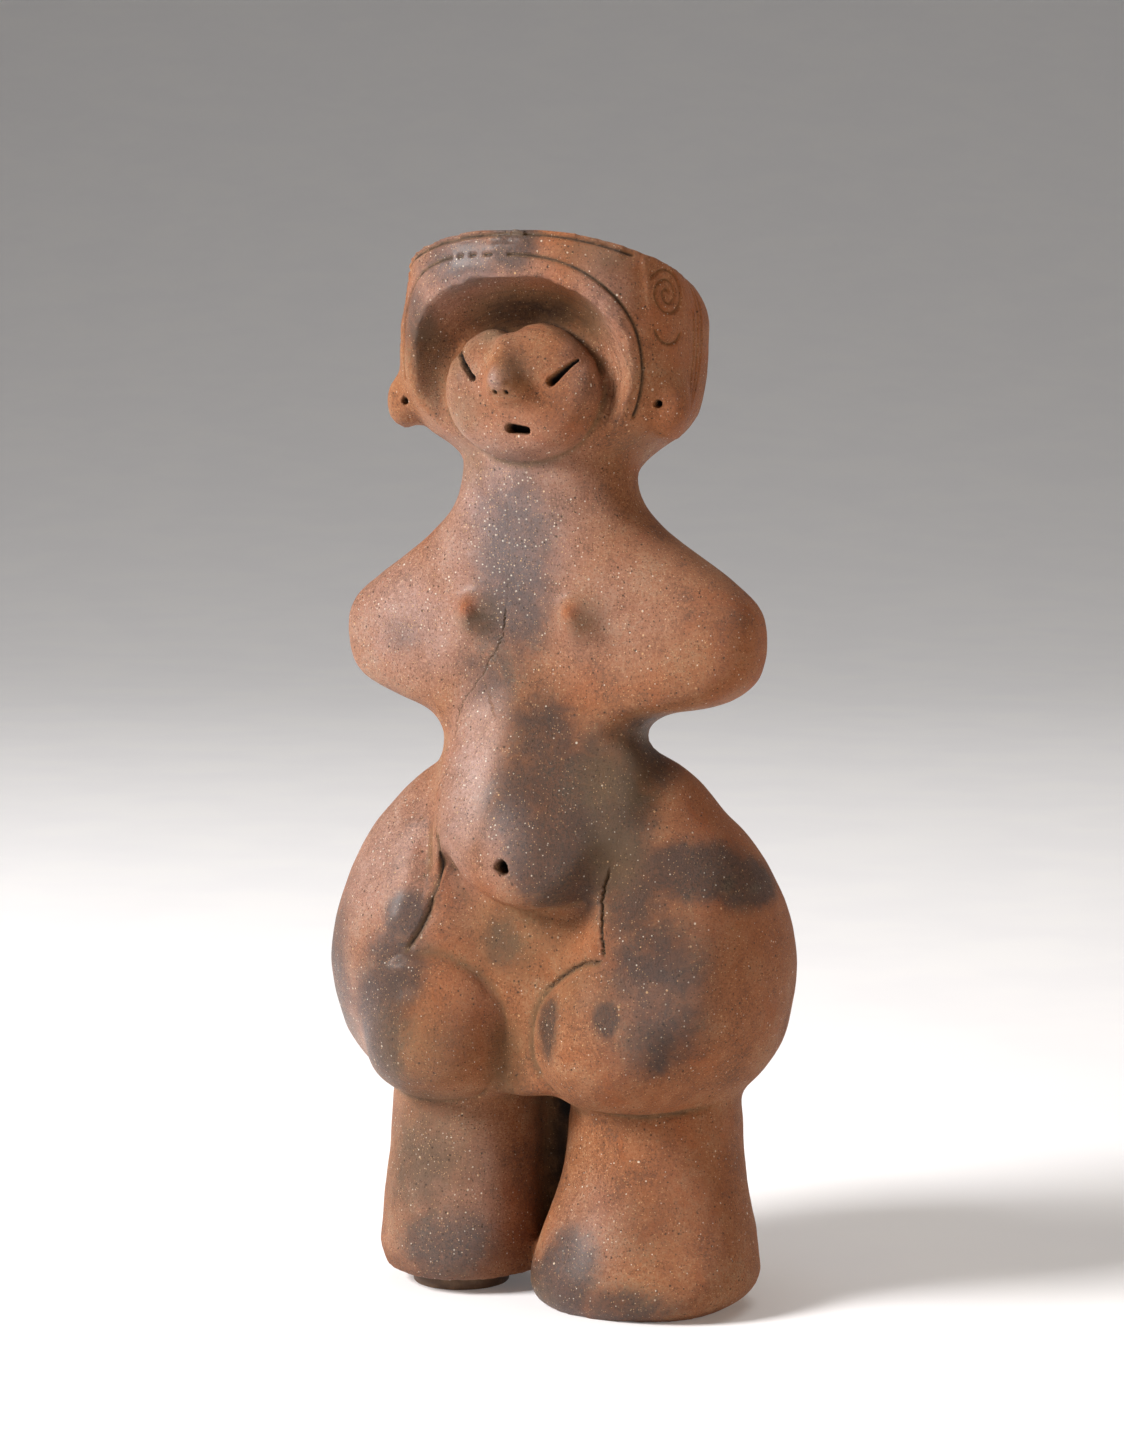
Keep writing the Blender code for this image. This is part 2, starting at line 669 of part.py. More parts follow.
def stick(name, tree, prick, working, across=14):
    """A tapering stick where a hole is pricked: its tip is deep in the clay, its butt is outside."""
    mouth = on_skin(tree, "front", [prick.at])[0] / UNIT
    length = prick.deep + OUTSIDE
    bm = bmesh.new()
    bmesh.ops.create_cone(
        bm, cap_ends=True, segments=across, radius1=STICK_TIP, radius2=STICK_BUTT, depth=length
    )
    c, s = math.cos(prick.turn), math.sin(prick.turn)
    for v in bm.verts:
        x, z = v.co.x * prick.wide, v.co.y * prick.tall
        y = mouth.y + prick.deep - length / 2 - v.co.z
        v.co = Vector((prick.at[0] + x * c - z * s, y, prick.at[1] + x * s + z * c)) * UNIT
    bmesh.ops.recalc_face_normals(bm, faces=bm.faces)
    return new_object(name, bm, working)


def eye_slit(name, tree, side, working):
    """A slanting cut for an eye: blunt at the nose, running out thin and shallow at the temple."""
    c, s = math.cos(EYE_SLANT), math.sin(EYE_SLANT)
    bm = bmesh.new()
    rings = []
    for share in np.linspace(0, 1, EYE_STEPS):
        x, z = EYE_INNER[0] + EYE_LENGTH * share * c, EYE_INNER[1] + EYE_LENGTH * share * s
        front = on_skin(tree, "front", [(side * x, z)])[0].y / UNIT
        half = EYE_WIDE * (1.1 - EYE_THIN * share)
        deep = EYE_DEEP * (1 - EYE_THIN * share)
        ring = []
        for offset, y in ((-half, -OUTSIDE), (half, -OUTSIDE), (half / 2, deep), (-half / 2, deep)):
            corner = Vector((side * (x - offset * s), front + y, z + offset * c))
            ring.append(bm.verts.new(corner * UNIT))
        rings.append(ring)
    for a, b in zip(rings, rings[1:]):
        for k in range(4):
            n = (k + 1) % 4
            bm.faces.new((a[k], a[n], b[n], b[k]))
    bm.faces.new(reversed(rings[0]))
    bm.faces.new(rings[-1])
    bmesh.ops.recalc_face_normals(bm, faces=bm.faces)
    return new_object(name, bm, working)


def ground_block(name, side, top, working):
    """A block whose top face trims one sole flat."""
    bm = bmesh.new()
    bmesh.ops.create_cube(bm, size=1.0)
    for v in bm.verts:
        v.co.x = (v.co.x + 0.5 * side) * HEIGHT / 3
        v.co.y *= HEIGHT / 2
        v.co.z = (v.co.z - 0.5) * HEIGHT / 15 + top
    return new_object(name, bm, working)


def prick_and_trim(skin, working):
    """Prick the holes, draw the lines of the headdress and trim both soles."""
    bm = bmesh.new()
    bm.from_mesh(skin.data)
    tree = BVHTree.FromBMesh(bm)
    bm.free()
    other_ear = EAR_HOLE._replace(at=(-EAR_HOLE.at[0], EAR_HOLE.at[1]))
    tools = [
        stick("mouth_stick", tree, MOUTH, working),
        stick("navel_stick", tree, NAVEL, working),
        stick("left_ear_stick", tree, EAR_HOLE, working),
        stick("right_ear_stick", tree, other_ear, working),
        eye_slit("left_eye_knife", tree, 1, working),
        eye_slit("right_eye_knife", tree, -1, working),
        ground_block("left_sole_block", 1, 0.0, working),
        ground_block("right_sole_block", -1, PAD_THICKNESS + REST_GAP, working),
        drawing_stick(tree, working),
    ]
    tools += [stick(f"nostril_stick_{k}", tree, n, working, 8) for k, n in enumerate(NOSTRILS)]
    cut(skin, tools)


def shaped_skin(working):
    """The whole figure as one closed mesh, before it is centred."""
    skin = merged_skin(working)
    smooth_joins(skin)
    crease(skin)
    thin_out(skin)
    prick_and_trim(skin, working)
    return skin


def make_pad(centre, parts):
    """The thin round pad that levels the shorter right leg."""
    bpy.ops.mesh.primitive_cylinder_add(
        vertices=40, radius=PAD_DIAMETER / 2, depth=PAD_THICKNESS,
        location=(centre[0], centre[1], PAD_THICKNESS / 2),
    )
    pad = bpy.context.object
    pad.name = pad.data.name = "levelling_pad"
    edge = pad.modifiers.new("worn_edge", "BEVEL")
    edge.width = PAD_EDGE_ROUND
    edge.segments = 2
    edge.limit_method = "ANGLE"
    for home in pad.users_collection:
        home.objects.unlink(pad)
    parts.objects.link(pad)
    return pad


def main():
    """Build the figure and its pad, centred on the origin."""
    clear_scene()
    parts = new_collection("clay_figure")
    working = new_collection("working_pieces", hidden=True)
    figure = shaped_skin(working)
    working.objects.unlink(figure)
    parts.objects.link(figure)
    figure.name = figure.data.name = "figurine"
    corners = np.array([v.co for v in figure.data.vertices])
    middle = (corners.min(0) + corners.max(0)) / 2
    for v in figure.data.vertices:
        v.co.x -= middle[0]
        v.co.y -= middle[1]
    figure.data.materials.clear()
    figure.data.materials.append(plain_material("fired_clay", CLAY, 0.6))
    figure.data.shade_smooth()
    figure.data.set_sharp_from_angle(angle=math.radians(40))
    sole = RIGHT_LEG[1]
    pad = make_pad((sole.side * UNIT - middle[0], (sole.back - PAD_SHIFT) * UNIT - middle[1]), parts)
    pad.data.materials.append(plain_material("brown_leather", LEATHER, 0.5))
    pad.data.shade_smooth()
    pad.data.set_sharp_from_angle(angle=math.radians(40))


main()
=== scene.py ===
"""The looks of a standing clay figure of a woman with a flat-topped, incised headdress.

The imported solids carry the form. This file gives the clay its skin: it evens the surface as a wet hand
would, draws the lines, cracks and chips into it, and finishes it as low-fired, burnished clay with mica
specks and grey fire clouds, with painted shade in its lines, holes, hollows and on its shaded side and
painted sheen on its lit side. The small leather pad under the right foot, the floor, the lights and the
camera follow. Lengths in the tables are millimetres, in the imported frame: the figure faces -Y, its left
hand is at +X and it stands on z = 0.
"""

import logging
import math
from collections.abc import Iterable, Sequence
from dataclasses import dataclass, field
from enum import Enum

import bmesh
import bpy
import numpy as np
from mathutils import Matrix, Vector, noise
from mathutils.bvhtree import BVHTree
from mathutils.kdtree import KDTree

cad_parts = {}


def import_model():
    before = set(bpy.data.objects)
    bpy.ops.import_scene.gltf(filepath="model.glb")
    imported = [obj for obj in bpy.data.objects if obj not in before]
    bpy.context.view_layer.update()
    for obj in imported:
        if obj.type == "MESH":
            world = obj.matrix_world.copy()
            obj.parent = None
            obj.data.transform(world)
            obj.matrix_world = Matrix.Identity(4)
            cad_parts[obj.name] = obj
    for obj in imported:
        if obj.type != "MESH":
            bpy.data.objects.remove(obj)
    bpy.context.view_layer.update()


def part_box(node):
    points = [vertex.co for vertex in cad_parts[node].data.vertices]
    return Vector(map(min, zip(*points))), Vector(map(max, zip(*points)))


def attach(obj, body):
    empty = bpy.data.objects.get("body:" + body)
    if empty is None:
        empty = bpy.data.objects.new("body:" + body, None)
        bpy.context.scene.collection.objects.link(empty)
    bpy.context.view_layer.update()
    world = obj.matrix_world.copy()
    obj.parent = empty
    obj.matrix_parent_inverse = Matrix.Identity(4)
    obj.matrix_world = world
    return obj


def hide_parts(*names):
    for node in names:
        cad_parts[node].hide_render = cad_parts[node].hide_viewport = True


MM = 0.001
LINE_STEP = 0.22
FAR_OUT = 200.0
LOG = logging.getLogger("clay_figure")
Point2 = tuple[float, float]
Point3 = tuple[float, float, float]
Colour = tuple[float, float, float]


class View(Enum):
    """The side that a drawing is laid on from: x and z from the front, y and z from a side."""

    FRONT = "front"
    LEFT = "left"
    RIGHT = "right"


class Channel(Enum):
    """A quantity stored at each point of the clay for its finish to read."""

    # Fire clouds, partly painted shade on the shaded side.
    SMOKE = "smoke"
    # Polish, which also paints sheen into the colour.
    BURNISH = "burnish"
    # Dirt and painted shade in hollows, lines, holes and recesses.
    SOIL = "soil"
    # Red patches and nipple tips, partly painted warmth of the shaded side.
    OCHRE = "ochre"
    ROUGH = "rough"
    PALE = "pale"
    WIPED = "wiped"


# Small helpers


def smooth_through(points: Sequence[Sequence[float]], step: float = 0.2) -> np.ndarray:
    """A smooth curve through points, sampled about every step.

    Args:
        points: The points to pass through, of any dimension.
        step: Distance between samples, in the units of the points.

    Returns:
        One row for each sample.
    """
    knots = np.array(points, float)
    if len(knots) < 2:
        return knots
    padded = np.vstack([2 * knots[0] - knots[1], knots, 2 * knots[-1] - knots[-2]])
    out = []
    for a, b, c, d in zip(padded, padded[1:], padded[2:], padded[3:]):
        count = max(1, int(np.linalg.norm(c - b) / step))
        t = (np.arange(count) / count)[:, None]
        out.append(
            0.5 * (2 * b + (c - a) * t + (2 * a - 5 * b + 4 * c - d) * t**2
                   + (3 * b - a - 3 * c + d) * t**3)
        )
    out.append(knots[-1:])
    return np.vstack(out)


def ramp(value: np.ndarray, low: float, high: float) -> np.ndarray:
    """A smooth step of value from 0 at low to 1 at high."""
    t = np.clip((value - low) / (high - low), 0, 1)
    return t * t * (3 - 2 * t)


def wander(points: np.ndarray, size: float, seed: float = 0.0) -> np.ndarray:
    """Smooth noise from -1 to 1 at each point.

    Args:
        points: One row of three coordinates for each point.
        size: The size of the noise's swells, in the units of the points.
        seed: Moves the noise, so that two layers differ.

    Returns:
        One value for each point.
    """
    moved = points / size + seed
    return np.array([noise.noise(Vector(p)) for p in moved])


def tree_of(points: np.ndarray) -> KDTree:
    """A search tree of points.

    Args:
        points: One row for each point.

    Returns:
        The tree.
    """
    tree = KDTree(len(points))
    for k, p in enumerate(points):
        tree.insert(p, k)
    tree.balance()
    return tree


def away_from(path: np.ndarray, points: np.ndarray, reach: float) -> tuple[np.ndarray, np.ndarray]:
    """Distance of each point from the nearest point of a line, or a large number beyond reach.

    Args:
        path: The dense points of the drawn line.
        points: The points of the clay.
        reach: How far to look.

    Returns:
        One distance for each point, and the number of the line's nearest point.
    """
    out = np.full(len(points), 1e3)
    at = np.zeros(len(points), int)
    tree = tree_of(path)
    near = np.all((points > path.min(0) - reach) & (points < path.max(0) + reach), axis=1)
    for k in np.flatnonzero(near):
        _, number, found = tree.find(points[k])
        if found < reach:
            out[k] = found
            at[k] = number
    return out, at


def deselect_all() -> None:
    """Leave nothing selected."""
    bpy.ops.object.select_all(action="DESELECT")


def only(thing: bpy.types.Object) -> None:
    """Make one object the selected and active one.

    Args:
        thing: The object.
    """
    deselect_all()
    thing.select_set(True)
    bpy.context.view_layer.objects.active = thing


def apply_all(thing: bpy.types.Object) -> None:
    """Apply each modifier of an object, top to bottom.

    Args:
        thing: The object.
    """
    only(thing)
    for tool in list(thing.modifiers):
        bpy.ops.object.modifier_apply(modifier=tool.name)


# Shader bench


class Flow:
    """A number that flows through the nodes, with Python's operators for its Math nodes."""

    def __init__(self, bench: "Bench", socket: bpy.types.NodeSocket) -> None:
        """Wrap one output socket."""
        self.bench = bench
        self.socket = socket

    def _math(self, operation: str, *values: "Flow | float", clamp: bool = False) -> "Flow":
        """One Math node on this flow and others."""
        return self.bench.math(operation, *values, clamp=clamp)

    def __add__(self, other: "Flow | float") -> "Flow":
        """Sum."""
        return self._math("ADD", self, other)

    __radd__ = __add__

    def __sub__(self, other: "Flow | float") -> "Flow":
        """Difference."""
        return self._math("SUBTRACT", self, other)

    def __rsub__(self, other: "Flow | float") -> "Flow":
        """Reflected difference, such as 1 - mask."""
        return self._math("SUBTRACT", other, self)

    def __mul__(self, other: "Flow | float") -> "Flow":
        """Product."""
        return self._math("MULTIPLY", self, other)

    __rmul__ = __mul__

    def __truediv__(self, other: "Flow | float") -> "Flow":
        """Quotient."""
        return self._math("DIVIDE", self, other)

    def __pow__(self, other: "Flow | float") -> "Flow":
        """Power."""
        return self._math("POWER", self, other)

    def largest(self, other: "Flow | float") -> "Flow":
        """The larger of two."""
        return self._math("MAXIMUM", self, other)

    def clamped(self) -> "Flow":
        """Held between 0 and 1."""
        return self._math("ADD", self, 0.0, clamp=True)

    def step(self, low: float, high: float) -> "Flow":
        """A smooth step from 0 at low to 1 at high, or down where low is above high.

        Args:
            low: Where it is 0.
            high: Where it is 1.

        Returns:
            The stepped flow.
        """
        made = self.bench.node(
            "ShaderNodeMapRange",
            {"interpolation_type": "SMOOTHSTEP"},
            {"Value": self, "From Min": low, "From Max": high, "To Min": 0.0, "To Max": 1.0},
        )
        return Flow(self.bench, made.outputs["Result"])


class Bench:
    """The workbench of one material: makes its nodes and joins them."""

    def __init__(self, name: str) -> None:
        """Start a material with only its output node.

        Args:
            name: The material's name.
        """
        self.material = bpy.data.materials.new(name)
        self.material.use_nodes = True
        self.tree = self.material.node_tree
        self.tree.nodes.clear()
        self.output = self.tree.nodes.new("ShaderNodeOutputMaterial")
        self.place = self.node("ShaderNodeTexCoord").outputs["Object"]

    def node(self, kind: str, settings: dict | None = None, inputs: dict | None = None) -> bpy.types.Node:
        """Add a node.

        Args:
            kind: The node's type.
            settings: Its properties, set first; "stops" gives a ramp's (place, colour) pairs.
            inputs: Values, flows or sockets for its input sockets, by name or number.

        Returns:
            The new node.
        """
        made = self.tree.nodes.new(kind)
        for key, value in (settings or {}).items():
            if key == "stops":
                self._stops(made.color_ramp, value)
            else:
                setattr(made, key, value)
        for key, value in (inputs or {}).items():
            self.join(value, made.inputs[key])
        return made

    @staticmethod
    def _stops(band: bpy.types.ColorRamp, stops: Sequence[tuple[float, Colour]]) -> None:
        """Set a ramp's stops.

        Args:
            band: The ramp.
            stops: The (place, colour) pairs.
        """
        while len(band.elements) < len(stops):
            band.elements.new(0.5)
        for element, (place, colour) in zip(band.elements, stops):
            element.position = place
            element.color = (*colour, 1.0)

    def join(self, value: "Flow | bpy.types.NodeSocket | float | Sequence[float]",
             socket: bpy.types.NodeSocket) -> None:
        """Link a flow or socket to an input, or set the input's value.

        Args:
            value: A flow, a socket, a number, or the numbers of a colour or vector.
            socket: The input.
        """
        if isinstance(value, Flow):
            self.tree.links.new(value.socket, socket)
        elif isinstance(value, bpy.types.NodeSocket):
            self.tree.links.new(value, socket)
        elif isinstance(value, (int, float)):
            socket.default_value = value
        else:
            size = len(socket.default_value)
            socket.default_value = (*value, 1.0) if len(value) < size else tuple(value)

    def math(self, operation: str, *values: "Flow | float", clamp: bool = False) -> Flow:
        """A Math node as a flow.

        Args:
            operation: The node's operation.
            *values: Its inputs in order.
            clamp: Whether it holds 0 to 1.

        Returns:
            The result.
        """
        made = self.node(
            "ShaderNodeMath", {"operation": operation, "use_clamp": clamp}, dict(enumerate(values))
        )
        return Flow(self, made.outputs[0])

    def attribute(self, channel: Channel) -> Flow:
        """A quantity stored on the clay's points."""
        made = self.node("ShaderNodeAttribute", {"attribute_name": channel.value})
        return Flow(self, made.outputs["Fac"])

    def noise(self, size: float, detail: float = 3.0, rough: float = 0.55, twist: float = 0.0,
              place: bpy.types.NodeSocket | None = None) -> Flow:
        """Noise whose swells are about size millimetres, from 0 to 1.

        Args:
            size: The size of its swells.
            detail: How many finer layers it has.
            rough: How strong those are.
            twist: How much it is distorted.
            place: Where it is read, or the object's own place.

        Returns:
            The noise.
        """
        made = self.node(
            "ShaderNodeTexNoise", {"noise_dimensions": "3D"},
            {"Vector": place or self.place, "Scale": 1.0 / (size * MM), "Detail": detail,
             "Roughness": rough, "Distortion": twist},
        )
        return Flow(self, made.outputs["Fac"])

    def grains(self, size: float, shift: float = 0.0) -> tuple[Flow, Flow, Flow]:
        """Scattered grains, one to a cell.

        Args:
            size: The size of a cell in millimetres.
            shift: Moves the pattern, in metres, so that two layers differ.

        Returns:
            The distance to the cell's grain in cells, and two random numbers of the cell.
        """
        moved = self.node("ShaderNodeVectorMath", {"operation": "ADD"}, {0: self.place, 1: (shift,) * 3})
        made = self.node(
            "ShaderNodeTexVoronoi", {"feature": "F1", "voronoi_dimensions": "3D"},
            {"Vector": moved.outputs[0], "Scale": 1.0 / (size * MM), "Randomness": 1.0},
        )
        parts = self.node("ShaderNodeSeparateColor", {}, {"Color": made.outputs["Color"]})
        dice, size_dice = Flow(self, parts.outputs[0]), Flow(self, parts.outputs[1])
        return Flow(self, made.outputs["Distance"]), dice, size_dice

    def mix(self, share: Flow | float, low: bpy.types.NodeSocket | Colour,
            high: bpy.types.NodeSocket | Colour) -> bpy.types.NodeSocket:
        """Mix two colours.

        Args:
            share: How much of the second.
            low: The first colour.
            high: The second colour.

        Returns:
            The mixed colour.
        """
        made = self.node("ShaderNodeMix", {"data_type": "RGBA"})
        self.join(share, made.inputs["Factor"])
        self.join(low, made.inputs[6])
        self.join(high, made.inputs[7])
        return made.outputs[2]

    def ramp(self, value: Flow, stops: Sequence[tuple[float, Colour]]) -> bpy.types.NodeSocket:
        """A colour ramp."""
        return self.node("ShaderNodeValToRGB", {"stops": stops}, {"Fac": value}).outputs["Color"]

    def bump(self, height: Flow, depth: float) -> bpy.types.NodeSocket:
        """The normal bumped by a height whose full swing is depth millimetres."""
        inputs = {"Strength": 1.0, "Distance": depth * MM, "Height": height}
        return self.node("ShaderNodeBump", {}, inputs).outputs["Normal"]

    def finish(self, **sockets: object) -> bpy.types.Material:
        """Close the material with a Principled shader.

        Args:
            **sockets: Values for its sockets, their names with underscores for spaces.

        Returns:
            The material.
        """
        inputs = {key.replace("_", " "): value for key, value in sockets.items()}
        shader = self.node("ShaderNodeBsdfPrincipled", {}, inputs)
        self.tree.links.new(shader.outputs[0], self.output.inputs["Surface"])
        return self.material


# Finishes


@dataclass(frozen=True)
class FiredClay:
    """Low-fired clay, burnished by hand, with mica, grit, fire clouds, old dirt and painted shade in its
    hollows, and painted sheen where it is polished.
    """

    umber: Colour = (0.190, 0.074, 0.030)
    terracotta: Colour = (0.405, 0.146, 0.052)
    red: Colour = (0.410, 0.108, 0.022)
    buff: Colour = (0.440, 0.245, 0.125)
    # Painted sheen: the lilac is mixed into the colour where the clay is polished on its lit side.
    lilac: Colour = (0.530, 0.360, 0.325)
    # Partly painted shade: the near-black fire-cloud colour is darkened to stand in for shade as well.
    smoke: Colour = (0.026, 0.018, 0.013)
    # Painted sheen: the fire clouds' bluish grey where polished on the lit side.
    smoke_sheen: Colour = (0.110, 0.098, 0.104)
    # Painted shade beside real dirt: the dark brown, the near-black depth and the olive darken hollows,
    # lines, holes, recesses and the gap between the legs.
    soil: Colour = (0.055, 0.026, 0.012)
    depth: Colour = (0.010, 0.006, 0.004)
    olive: Colour = (0.165, 0.098, 0.040)
    pale: Colour = (0.520, 0.330, 0.190)
    mica: Colour = (0.950, 0.880, 0.740)
    amber: Colour = (0.800, 0.500, 0.240)
    roughness: float = 0.58
    burnished: float = 0.42
    relief: float = 0.62
    wipe_centre: float = 0.230

    def _ground(self, bench: Bench, sandy: Flow) -> bpy.types.NodeSocket:
        """The clay's colour, with painted sheen where polished and painted warmth on the shaded side, before
        the fire clouds, dirt, painted shade and specks.

        Args:
            bench: The material's bench.
            sandy: The fine sand of the clay.

        Returns:
            The colour.
        """
        broad = bench.noise(24, 4, 0.6, 0.4).step(0.30, 0.70)
        cloudy = bench.noise(8, 5, 0.65, 0.3).step(0.30, 0.70)
        tone = broad * 0.30 + cloudy * 0.28 + sandy * 0.42
        colour = bench.ramp(tone, [(0.18, self.umber), (0.50, self.terracotta), (0.88, self.buff)])
        patches = bench.noise(13, 5, 0.66, 0.6).step(0.50, 0.66)
        # Red patches, partly painted shade: they warm the shaded side.
        red = (patches * 0.45 + bench.attribute(Channel.OCHRE) * 0.85).clamped() * (0.7 + 0.3 * sandy)
        colour = bench.mix(red, colour, self.red)
        # Painted sheen: lilac mixed in where polished.
        polish_and_sheen = bench.attribute(Channel.BURNISH)
        colour = bench.mix((polish_and_sheen * (0.25 + 0.35 * cloudy + 0.35 * sandy)).clamped(), colour, self.lilac)
        return bench.mix(bench.attribute(Channel.PALE), colour, self.pale)

    def _streaks(self, bench: Bench) -> Flow:
        """Fine curved marks of the wiping hand, concentric with the face.

        Args:
            bench: The material's bench.

        Returns:
            The marks, from 0 to 1.
        """
        parts = bench.node("ShaderNodeSeparateXYZ", {}, {0: bench.place})
        across, up = Flow(bench, parts.outputs[0]), Flow(bench, parts.outputs[2])
        up = up - self.wipe_centre
        reach = (across * across * 0.72 + up * up) ** 0.5
        turn = bench.math("ARCTAN2", up, across)
        place = bench.node("ShaderNodeCombineXYZ", {}, {0: reach, 1: turn * 0.0012, 2: 0.0})
        return bench.noise(0.7, 3, 0.6, 0.2, place.outputs[0])

    def _relief(self, bench: Bench, sandy: Flow, pits: Flow, specks: Flow,
                streaks: Flow) -> bpy.types.NodeSocket:
        """The fine relief of the surface: grit, wipe marks, pits and standing grains.

        Args:
            bench: The material's bench.
            sandy: The fine sand.
            pits: The pits.
            specks: The mica.
            streaks: The wipe marks.

        Returns:
            The bumped normal.
        """
        rough = bench.attribute(Channel.ROUGH)
        coarse = bench.noise(2.8, 3, 0.6)
        fine = bench.noise(0.42, 2, 0.6)
        height = coarse * 0.34 + sandy * (0.34 + 0.30 * rough) + fine * 0.34 - pits * 0.45 + specks * 0.14
        height = height + streaks * bench.attribute(Channel.WIPED) * 0.45
        return bench.bump(height, self.relief)

    def make(self) -> bpy.types.Material:
        """Build the material.

        Returns:
            The material.
        """
        bench = Bench("fired_clay_skin")
        sandy = bench.noise(0.85, 6, 0.85).step(0.36, 0.64)
        colour = self._ground(bench, sandy)
        streaks = self._streaks(bench)
        wiped = bench.attribute(Channel.WIPED)
        grit = bench.noise(0.50, 3, 0.7)
        colour = bench.mix(grit.step(0.49, 0.32) * 0.50, colour, self.soil)
        colour = bench.mix(grit.step(0.55, 0.72) * 0.26, colour, self.buff)
        edge = bench.noise(6, 5, 0.7, 0.8).step(0.30, 0.70)
        polish_and_sheen = bench.attribute(Channel.BURNISH)
        # Fire clouds, darkened further as painted shade where they lie on the shaded side.
        smoke = (bench.attribute(Channel.SMOKE) * (0.72 + 0.56 * edge)).step(0.02, 0.66)
        # Painted sheen on the fire clouds where polished, near black elsewhere.
        cloud = bench.mix((edge * 0.10 + polish_and_sheen * 0.90).clamped(), self.smoke, self.smoke_sheen)
        colour = bench.mix((smoke * (0.66 + 0.34 * sandy)).clamped() * 0.94, colour, cloud)
        # Painted shade with dirt: olive, dark brown and near black where lines, holes, hollows and the
        # darker spots lie.
        soil = bench.attribute(Channel.SOIL)
        dirt_and_shade = (soil * (0.70 + edge * 0.35 + sandy * 0.25)).clamped()
        colour = bench.mix(dirt_and_shade.step(0.05, 0.60) * 0.62, colour, self.olive)
        colour = bench.mix(dirt_and_shade.step(0.45, 0.95) * 0.94, colour, self.soil)
        # Painted shade: near black deep in the holes and between the legs.
        colour = bench.mix(soil.step(0.82, 0.98), colour, self.depth)
        colour = bench.mix(wiped * streaks.step(0.46, 0.62) * 0.42, colour, self.soil)

        away, dice, size = bench.grains(1.5, 0.31)
        holes = (away / (0.07 + 0.20 * size)).step(1.0, 0.55) * dice.step(0.58, 0.60)
        tiny, tiny_dice, _ = bench.grains(0.80, 0.53)
        pits = holes.largest((tiny / 0.30).step(1.0, 0.5) * tiny_dice.step(0.52, 0.56) * 0.75)
        colour = bench.mix(pits * 0.82, colour, self.soil)

        crowd = bench.noise(11, 3, 0.6).step(0.32, 0.68)
        fine, fine_dice, fine_size = bench.grains(0.98, 0.0)
        # Painted glints: more bright specks where the painted sheen lies.
        few = fine_dice + polish_and_sheen * 0.40 + crowd * 0.14
        dots = (fine / (0.08 + 0.07 * polish_and_sheen + 0.17 * fine_size)).step(1.0, 0.6) * few.step(0.77, 0.85)
        dust_at, dust_dice, _ = bench.grains(0.62, 0.19)
        chosen = (dust_dice + crowd * 0.10 + polish_and_sheen * 0.25).step(0.78, 0.84)
        sparkle = (dust_at / 0.28).step(1.0, 0.5) * chosen
        colour = bench.mix(sparkle * 0.60 * soil.step(0.9, 0.7), colour, self.amber)
        wide, wide_dice, wide_size = bench.grains(2.2, 0.77)
        rare = (wide_dice + polish_and_sheen * 0.15).step(0.74, 0.76)
        flakes = (wide / (0.06 + 0.12 * wide_size)).step(1.0, 0.7) * rare
        specks = dots.largest(flakes)
        bright = specks * (0.45 + 0.55 * size) * (1.0 - dirt_and_shade * 0.5) * soil.step(0.80, 0.60)
        tint = bench.mix(fine_size.step(0.35, 0.80), self.amber, self.mica)
        colour = bench.mix(bright * 0.92, colour, tint)

        gloss = self.roughness - (self.roughness - self.burnished) * (polish_and_sheen + smoke * 0.35).clamped()
        gloss = gloss + bench.attribute(Channel.ROUGH) * 0.25 + (sandy - 0.5) * 0.16 - specks * 0.16
        return bench.finish(
            Base_Color=colour, Roughness=gloss.clamped(), IOR=1.45,
            Coat_Weight=(polish_and_sheen * 0.24 + smoke * 0.12).clamped(), Coat_Roughness=0.38,
            Normal=self._relief(bench, sandy, pits, specks, streaks),
        )


@dataclass(frozen=True)
class BrownLeather:
    """Smooth dark brown leather, with lighter worn patches."""

    hide: Colour = (0.098, 0.050, 0.024)
    worn: Colour = (0.210, 0.120, 0.062)
    grain: float = 0.55
    relief: float = 0.06

    def make(self) -> bpy.types.Material:
        """Build the material.

        Returns:
            The material.
        """
        bench = Bench("worn_brown_leather")
        cloudy = bench.noise(4, 4, 0.6)
        cells, dice, _ = bench.grains(self.grain)
        colour = bench.mix(cloudy.step(0.42, 0.75), self.hide, self.worn)
        colour = bench.mix(cells.step(0.42, 0.8) * 0.35, colour, self.hide)
        fibres = bench.noise(0.3, 3, 0.7)
        height = (1.0 - cells) * 0.6 + fibres * 0.5
        return bench.finish(
            Base_Color=colour, Roughness=(0.42 + 0.25 * cloudy + 0.08 * dice).clamped(), IOR=1.5,
            Normal=bench.bump(height, self.relief),
        )


@dataclass(frozen=True)
class PalePaper:
    """The matt pale surface that the figure stands on."""

    tone: Colour = (0.90, 0.90, 0.91)
    shade: Colour = (0.87, 0.87, 0.89)
    glow: float = 0.10

    def make(self) -> bpy.types.Material:
        """Build the material.

        Returns:
            The material.
        """
        bench = Bench("pale_floor")
        colour = bench.mix(bench.noise(60, 2, 0.5).step(0.3, 0.7), self.tone, self.shade)
        return bench.finish(
            Base_Color=colour, Roughness=0.85, Normal=bench.bump(bench.noise(0.8), 0.02),
            Emission_Color=self.tone, Emission_Strength=self.glow,
        )


# Carving


@dataclass(frozen=True)
class Drawn:
    """A line drawn into the clay.

    The cut is deep at the middle of the line and wide across, with a low burr beside it. Where it has
    no burr it is a crease or a crack, and where deep is below zero it is a ridge. dark is how much dirt
    and painted shade lies in it, shake how much it wanders and taper how far its ends fade.
    """

    view: View
    points: Sequence[Sequence[float]]
    wide: float = 1.05
    deep: float = 0.66
    burr: float = 0.10
    dark: float = 0.9
    shake: float = 0.0
    sharp: float = 2.6
    taper: float = 0.0


